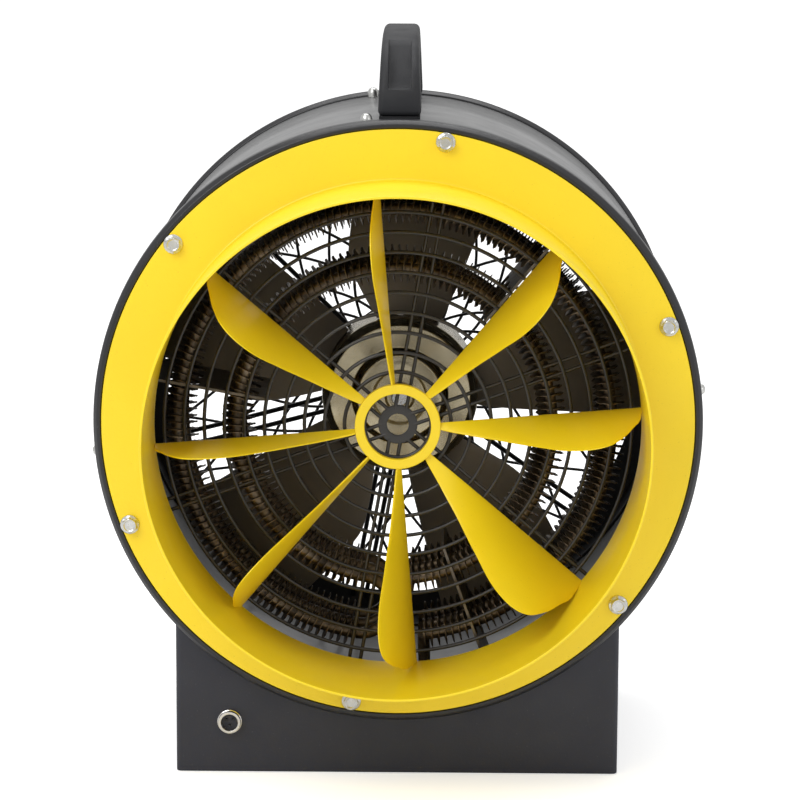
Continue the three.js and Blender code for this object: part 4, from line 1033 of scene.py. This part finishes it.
def inlet():
    """A square flange with a round, keyed shroud, its pins and four screws."""
    place = on_wall(INLET, -1)
    half = INLET_HALF
    piece = Shape()
    outline = fillet([(-half, -half), (half, -half), (half, half), (-half, half)], 6, 6)
    rows = []
    for level, inset in ((0.3, 0), (4.5, 0), (5.1, 0.25), (5.3, 0.9)):
        scale = 1 - inset / half
        rows.append([place(a * scale, b * scale, level) for a, b in outline])
    piece.grid(rows, wrap_columns=True, cap=True)
    piece.turned(fillet([
        (0.02, -45.7, 0), (23.4, -45.7, 0), (23.4, 1.3, 0), (27, 1.3, 0), (27, 30, 0.5), (28, 31, 0.5),
        (28, 36, 0.5), (27, 38.3, 0.8), (24, 38.3, 0.8), (24, 6.3, 0.8), (0.02, 6.3, 0),
    ], 0.4), 96, place)
    rows = [[place(a, b, level) for a, b in ((-5, 26), (5, 26), (4, 30), (-4, 30))] for level in (5, 37.5)]
    piece.grid(rows, wrap_columns=True, cap=True)
    piece.build("inlet_body", red_plastic, slot="inlet_plastic", stands_for=("power_inlet",))
    pins = Shape()
    for k in range(INLET_PINS):
        t = math.radians(180 + 360 / INLET_PINS * k)
        x, y = INLET_CIRCLE * math.sin(t), INLET_CIRCLE * math.cos(t)
        pins.turned(fillet([(0.02, 5.3, 0), (2.5, 5.3, 0), (2.5, 32.3, 1.2), (0.02, 32.3, 0)], 0.4), 32,
                    lambda a, b, c, x=x, y=y: place(a + x, b + y, c))
    pins.build("inlet_pins", brass, slot="inlet_plastic")
    for k, (x, y) in enumerate(((-1, -1), (1, -1), (1, 1), (-1, 1))):
        pan_head(f"inlet_screw_{k + 1}", place(x * INLET_SCREWS, y * INLET_SCREWS, 5.3), Vector((0, 1, 0)),
                 *INLET_HEAD, random.uniform(0, SCREW_TURN))


inlet()

for k, (x, z) in enumerate(PANEL_SCREWS):
    pan_head(f"panel_screw_{k + 1}", Vector((x, HALF_D, z)) * MM, Vector((0, 1, 0)), *PANEL_HEAD,
             random.uniform(0, SCREW_TURN))


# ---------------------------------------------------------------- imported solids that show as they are

SHOWN = {
    "handle_plate": black, "handle_screw_1": zinc, "handle_screw_2": zinc, "element_bracket_1": galvanised,
    "element_bracket_2": galvanised, "element_bracket_3": galvanised, "motor_shaft": shaft_steel,
    "motor_body": iron, "bottom_plate": bottom_paint, "selector_switch": insulator,
    "thermostat_body": can_steel, "cutout_body": insulator, "terminal_block": cream_plastic,
}
for node, finish in SHOWN.items():
    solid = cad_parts[node]
    if not solid.material_slots:
        solid.data.materials.append(finish)
    for slot in solid.material_slots:
        slot.material = finish


# ---------------------------------------------------------------- studio

AMBIENT = 0.7  # strength of the world's light on the object
FLOOR_LIFT = 0.5  # glow that the camera sees on the floor, over what the lamps give it
FLOOR_LEVEL, FLOOR_X, FLOOR_Y = -0.0005, (-9, 9), (-7, 30)
LAMPS = (  # name, place, point it faces, size, power
    ("key", (-1.15, -1.65, 1.85), (0, -0.1, 0.3), (1.3, 1.3), 24),
    ("fill", (2.2, -2.0, 1.2), (0, -0.1, 0.3), (1.4, 1.4), 7),
    ("top", (0, 0.5, 2.4), (0, 0.1, 0.4), (1.8, 1.2), 20),
)


def studio():
    """A white floor, a white world that is dimmer on the object than to the camera, and the lamps."""
    floor_paint = Recipe("studio_floor")
    grain = floor_paint.tint(floor_paint.noise(3, 3), (0.9, 0.9, 0.9), (0.93, 0.93, 0.93))
    floor_paint.base(grain)
    floor_paint.set(metal=0.0, specular=0.0)
    floor_paint.rough(floor_paint.span(floor_paint.noise(6, 3), 0.8, 0.9))
    seen = floor_paint.add("ShaderNodeLightPath").outputs["Is Camera Ray"]
    floor_paint.shader.inputs["Emission Color"].default_value = (1, 1, 1, 1)
    glow = floor_paint.span(seen, 0.0, FLOOR_LIFT, 0.0, 1.0)
    floor_paint.link(glow, floor_paint.shader.inputs["Emission Strength"])
    slab = Shape()
    slab.grid([[Vector((x, y, FLOOR_LEVEL)) for x in FLOOR_X] for y in FLOOR_Y])
    mesh = slab.mesh("floor")
    mesh.materials.append(floor_paint.material)
    floor = bpy.data.objects.new("floor", mesh)
    scene.collection.objects.link(floor)

    world = bpy.data.worlds.new("studio")
    scene.world = world
    world.use_nodes = True
    tree = world.node_tree
    path = tree.nodes.new("ShaderNodeLightPath")
    shown = tree.nodes.new("ShaderNodeMath")
    shown.operation = "MAXIMUM"
    tree.links.new(path.outputs["Is Camera Ray"], shown.inputs[0])
    tree.links.new(path.outputs["Is Transmission Ray"], shown.inputs[1])
    strength = tree.nodes.new("ShaderNodeMapRange")
    strength.inputs["To Min"].default_value = AMBIENT
    strength.inputs["To Max"].default_value = 1.0
    tree.links.new(shown.outputs["Value"], strength.inputs["Value"])
    back = tree.nodes["Background"]
    back.inputs["Color"].default_value = (1, 1, 1, 1)
    tree.links.new(strength.outputs["Result"], back.inputs["Strength"])

    for name, place, aim, size, power in LAMPS:
        light = bpy.data.lights.new(name, "AREA")
        light.shape = "RECTANGLE"
        light.size, light.size_y = size
        light.energy = power
        made = bpy.data.objects.new(name, light)
        made.location = place
        made.rotation_euler = (Vector(aim) - Vector(place)).to_track_quat("-Z", "Y").to_euler()
        scene.collection.objects.link(made)


studio()

PICTURE, SENSOR = 800, 36  # width in pixels, and in mm on the sensor
FOCAL = 3102.5  # pixels
CAMERA = (0.0268, -2.445, 0.7038)
PITCH, YAW, ROLL = math.radians(10.07), math.radians(0.63), math.radians(0.25)
camera = bpy.data.objects.new("camera", bpy.data.cameras.new("camera"))
camera.data.sensor_width = SENSOR
camera.data.lens = FOCAL / PICTURE * SENSOR
camera.data.clip_end = 50
forward = Vector((-math.sin(YAW) * math.cos(PITCH), math.cos(YAW) * math.cos(PITCH), -math.sin(PITCH)))
right = Vector((math.cos(YAW), math.sin(YAW), 0))
upward = right.cross(forward)
right, upward = (right * math.cos(ROLL) + upward * math.sin(ROLL),
                 upward * math.cos(ROLL) - right * math.sin(ROLL))
camera.matrix_world = Matrix.Translation(Vector(CAMERA)) @ Matrix(
    (right, upward, -forward)).transposed().to_4x4()
scene.collection.objects.link(camera)
scene.camera = camera
scene.view_settings.view_transform = "Standard"
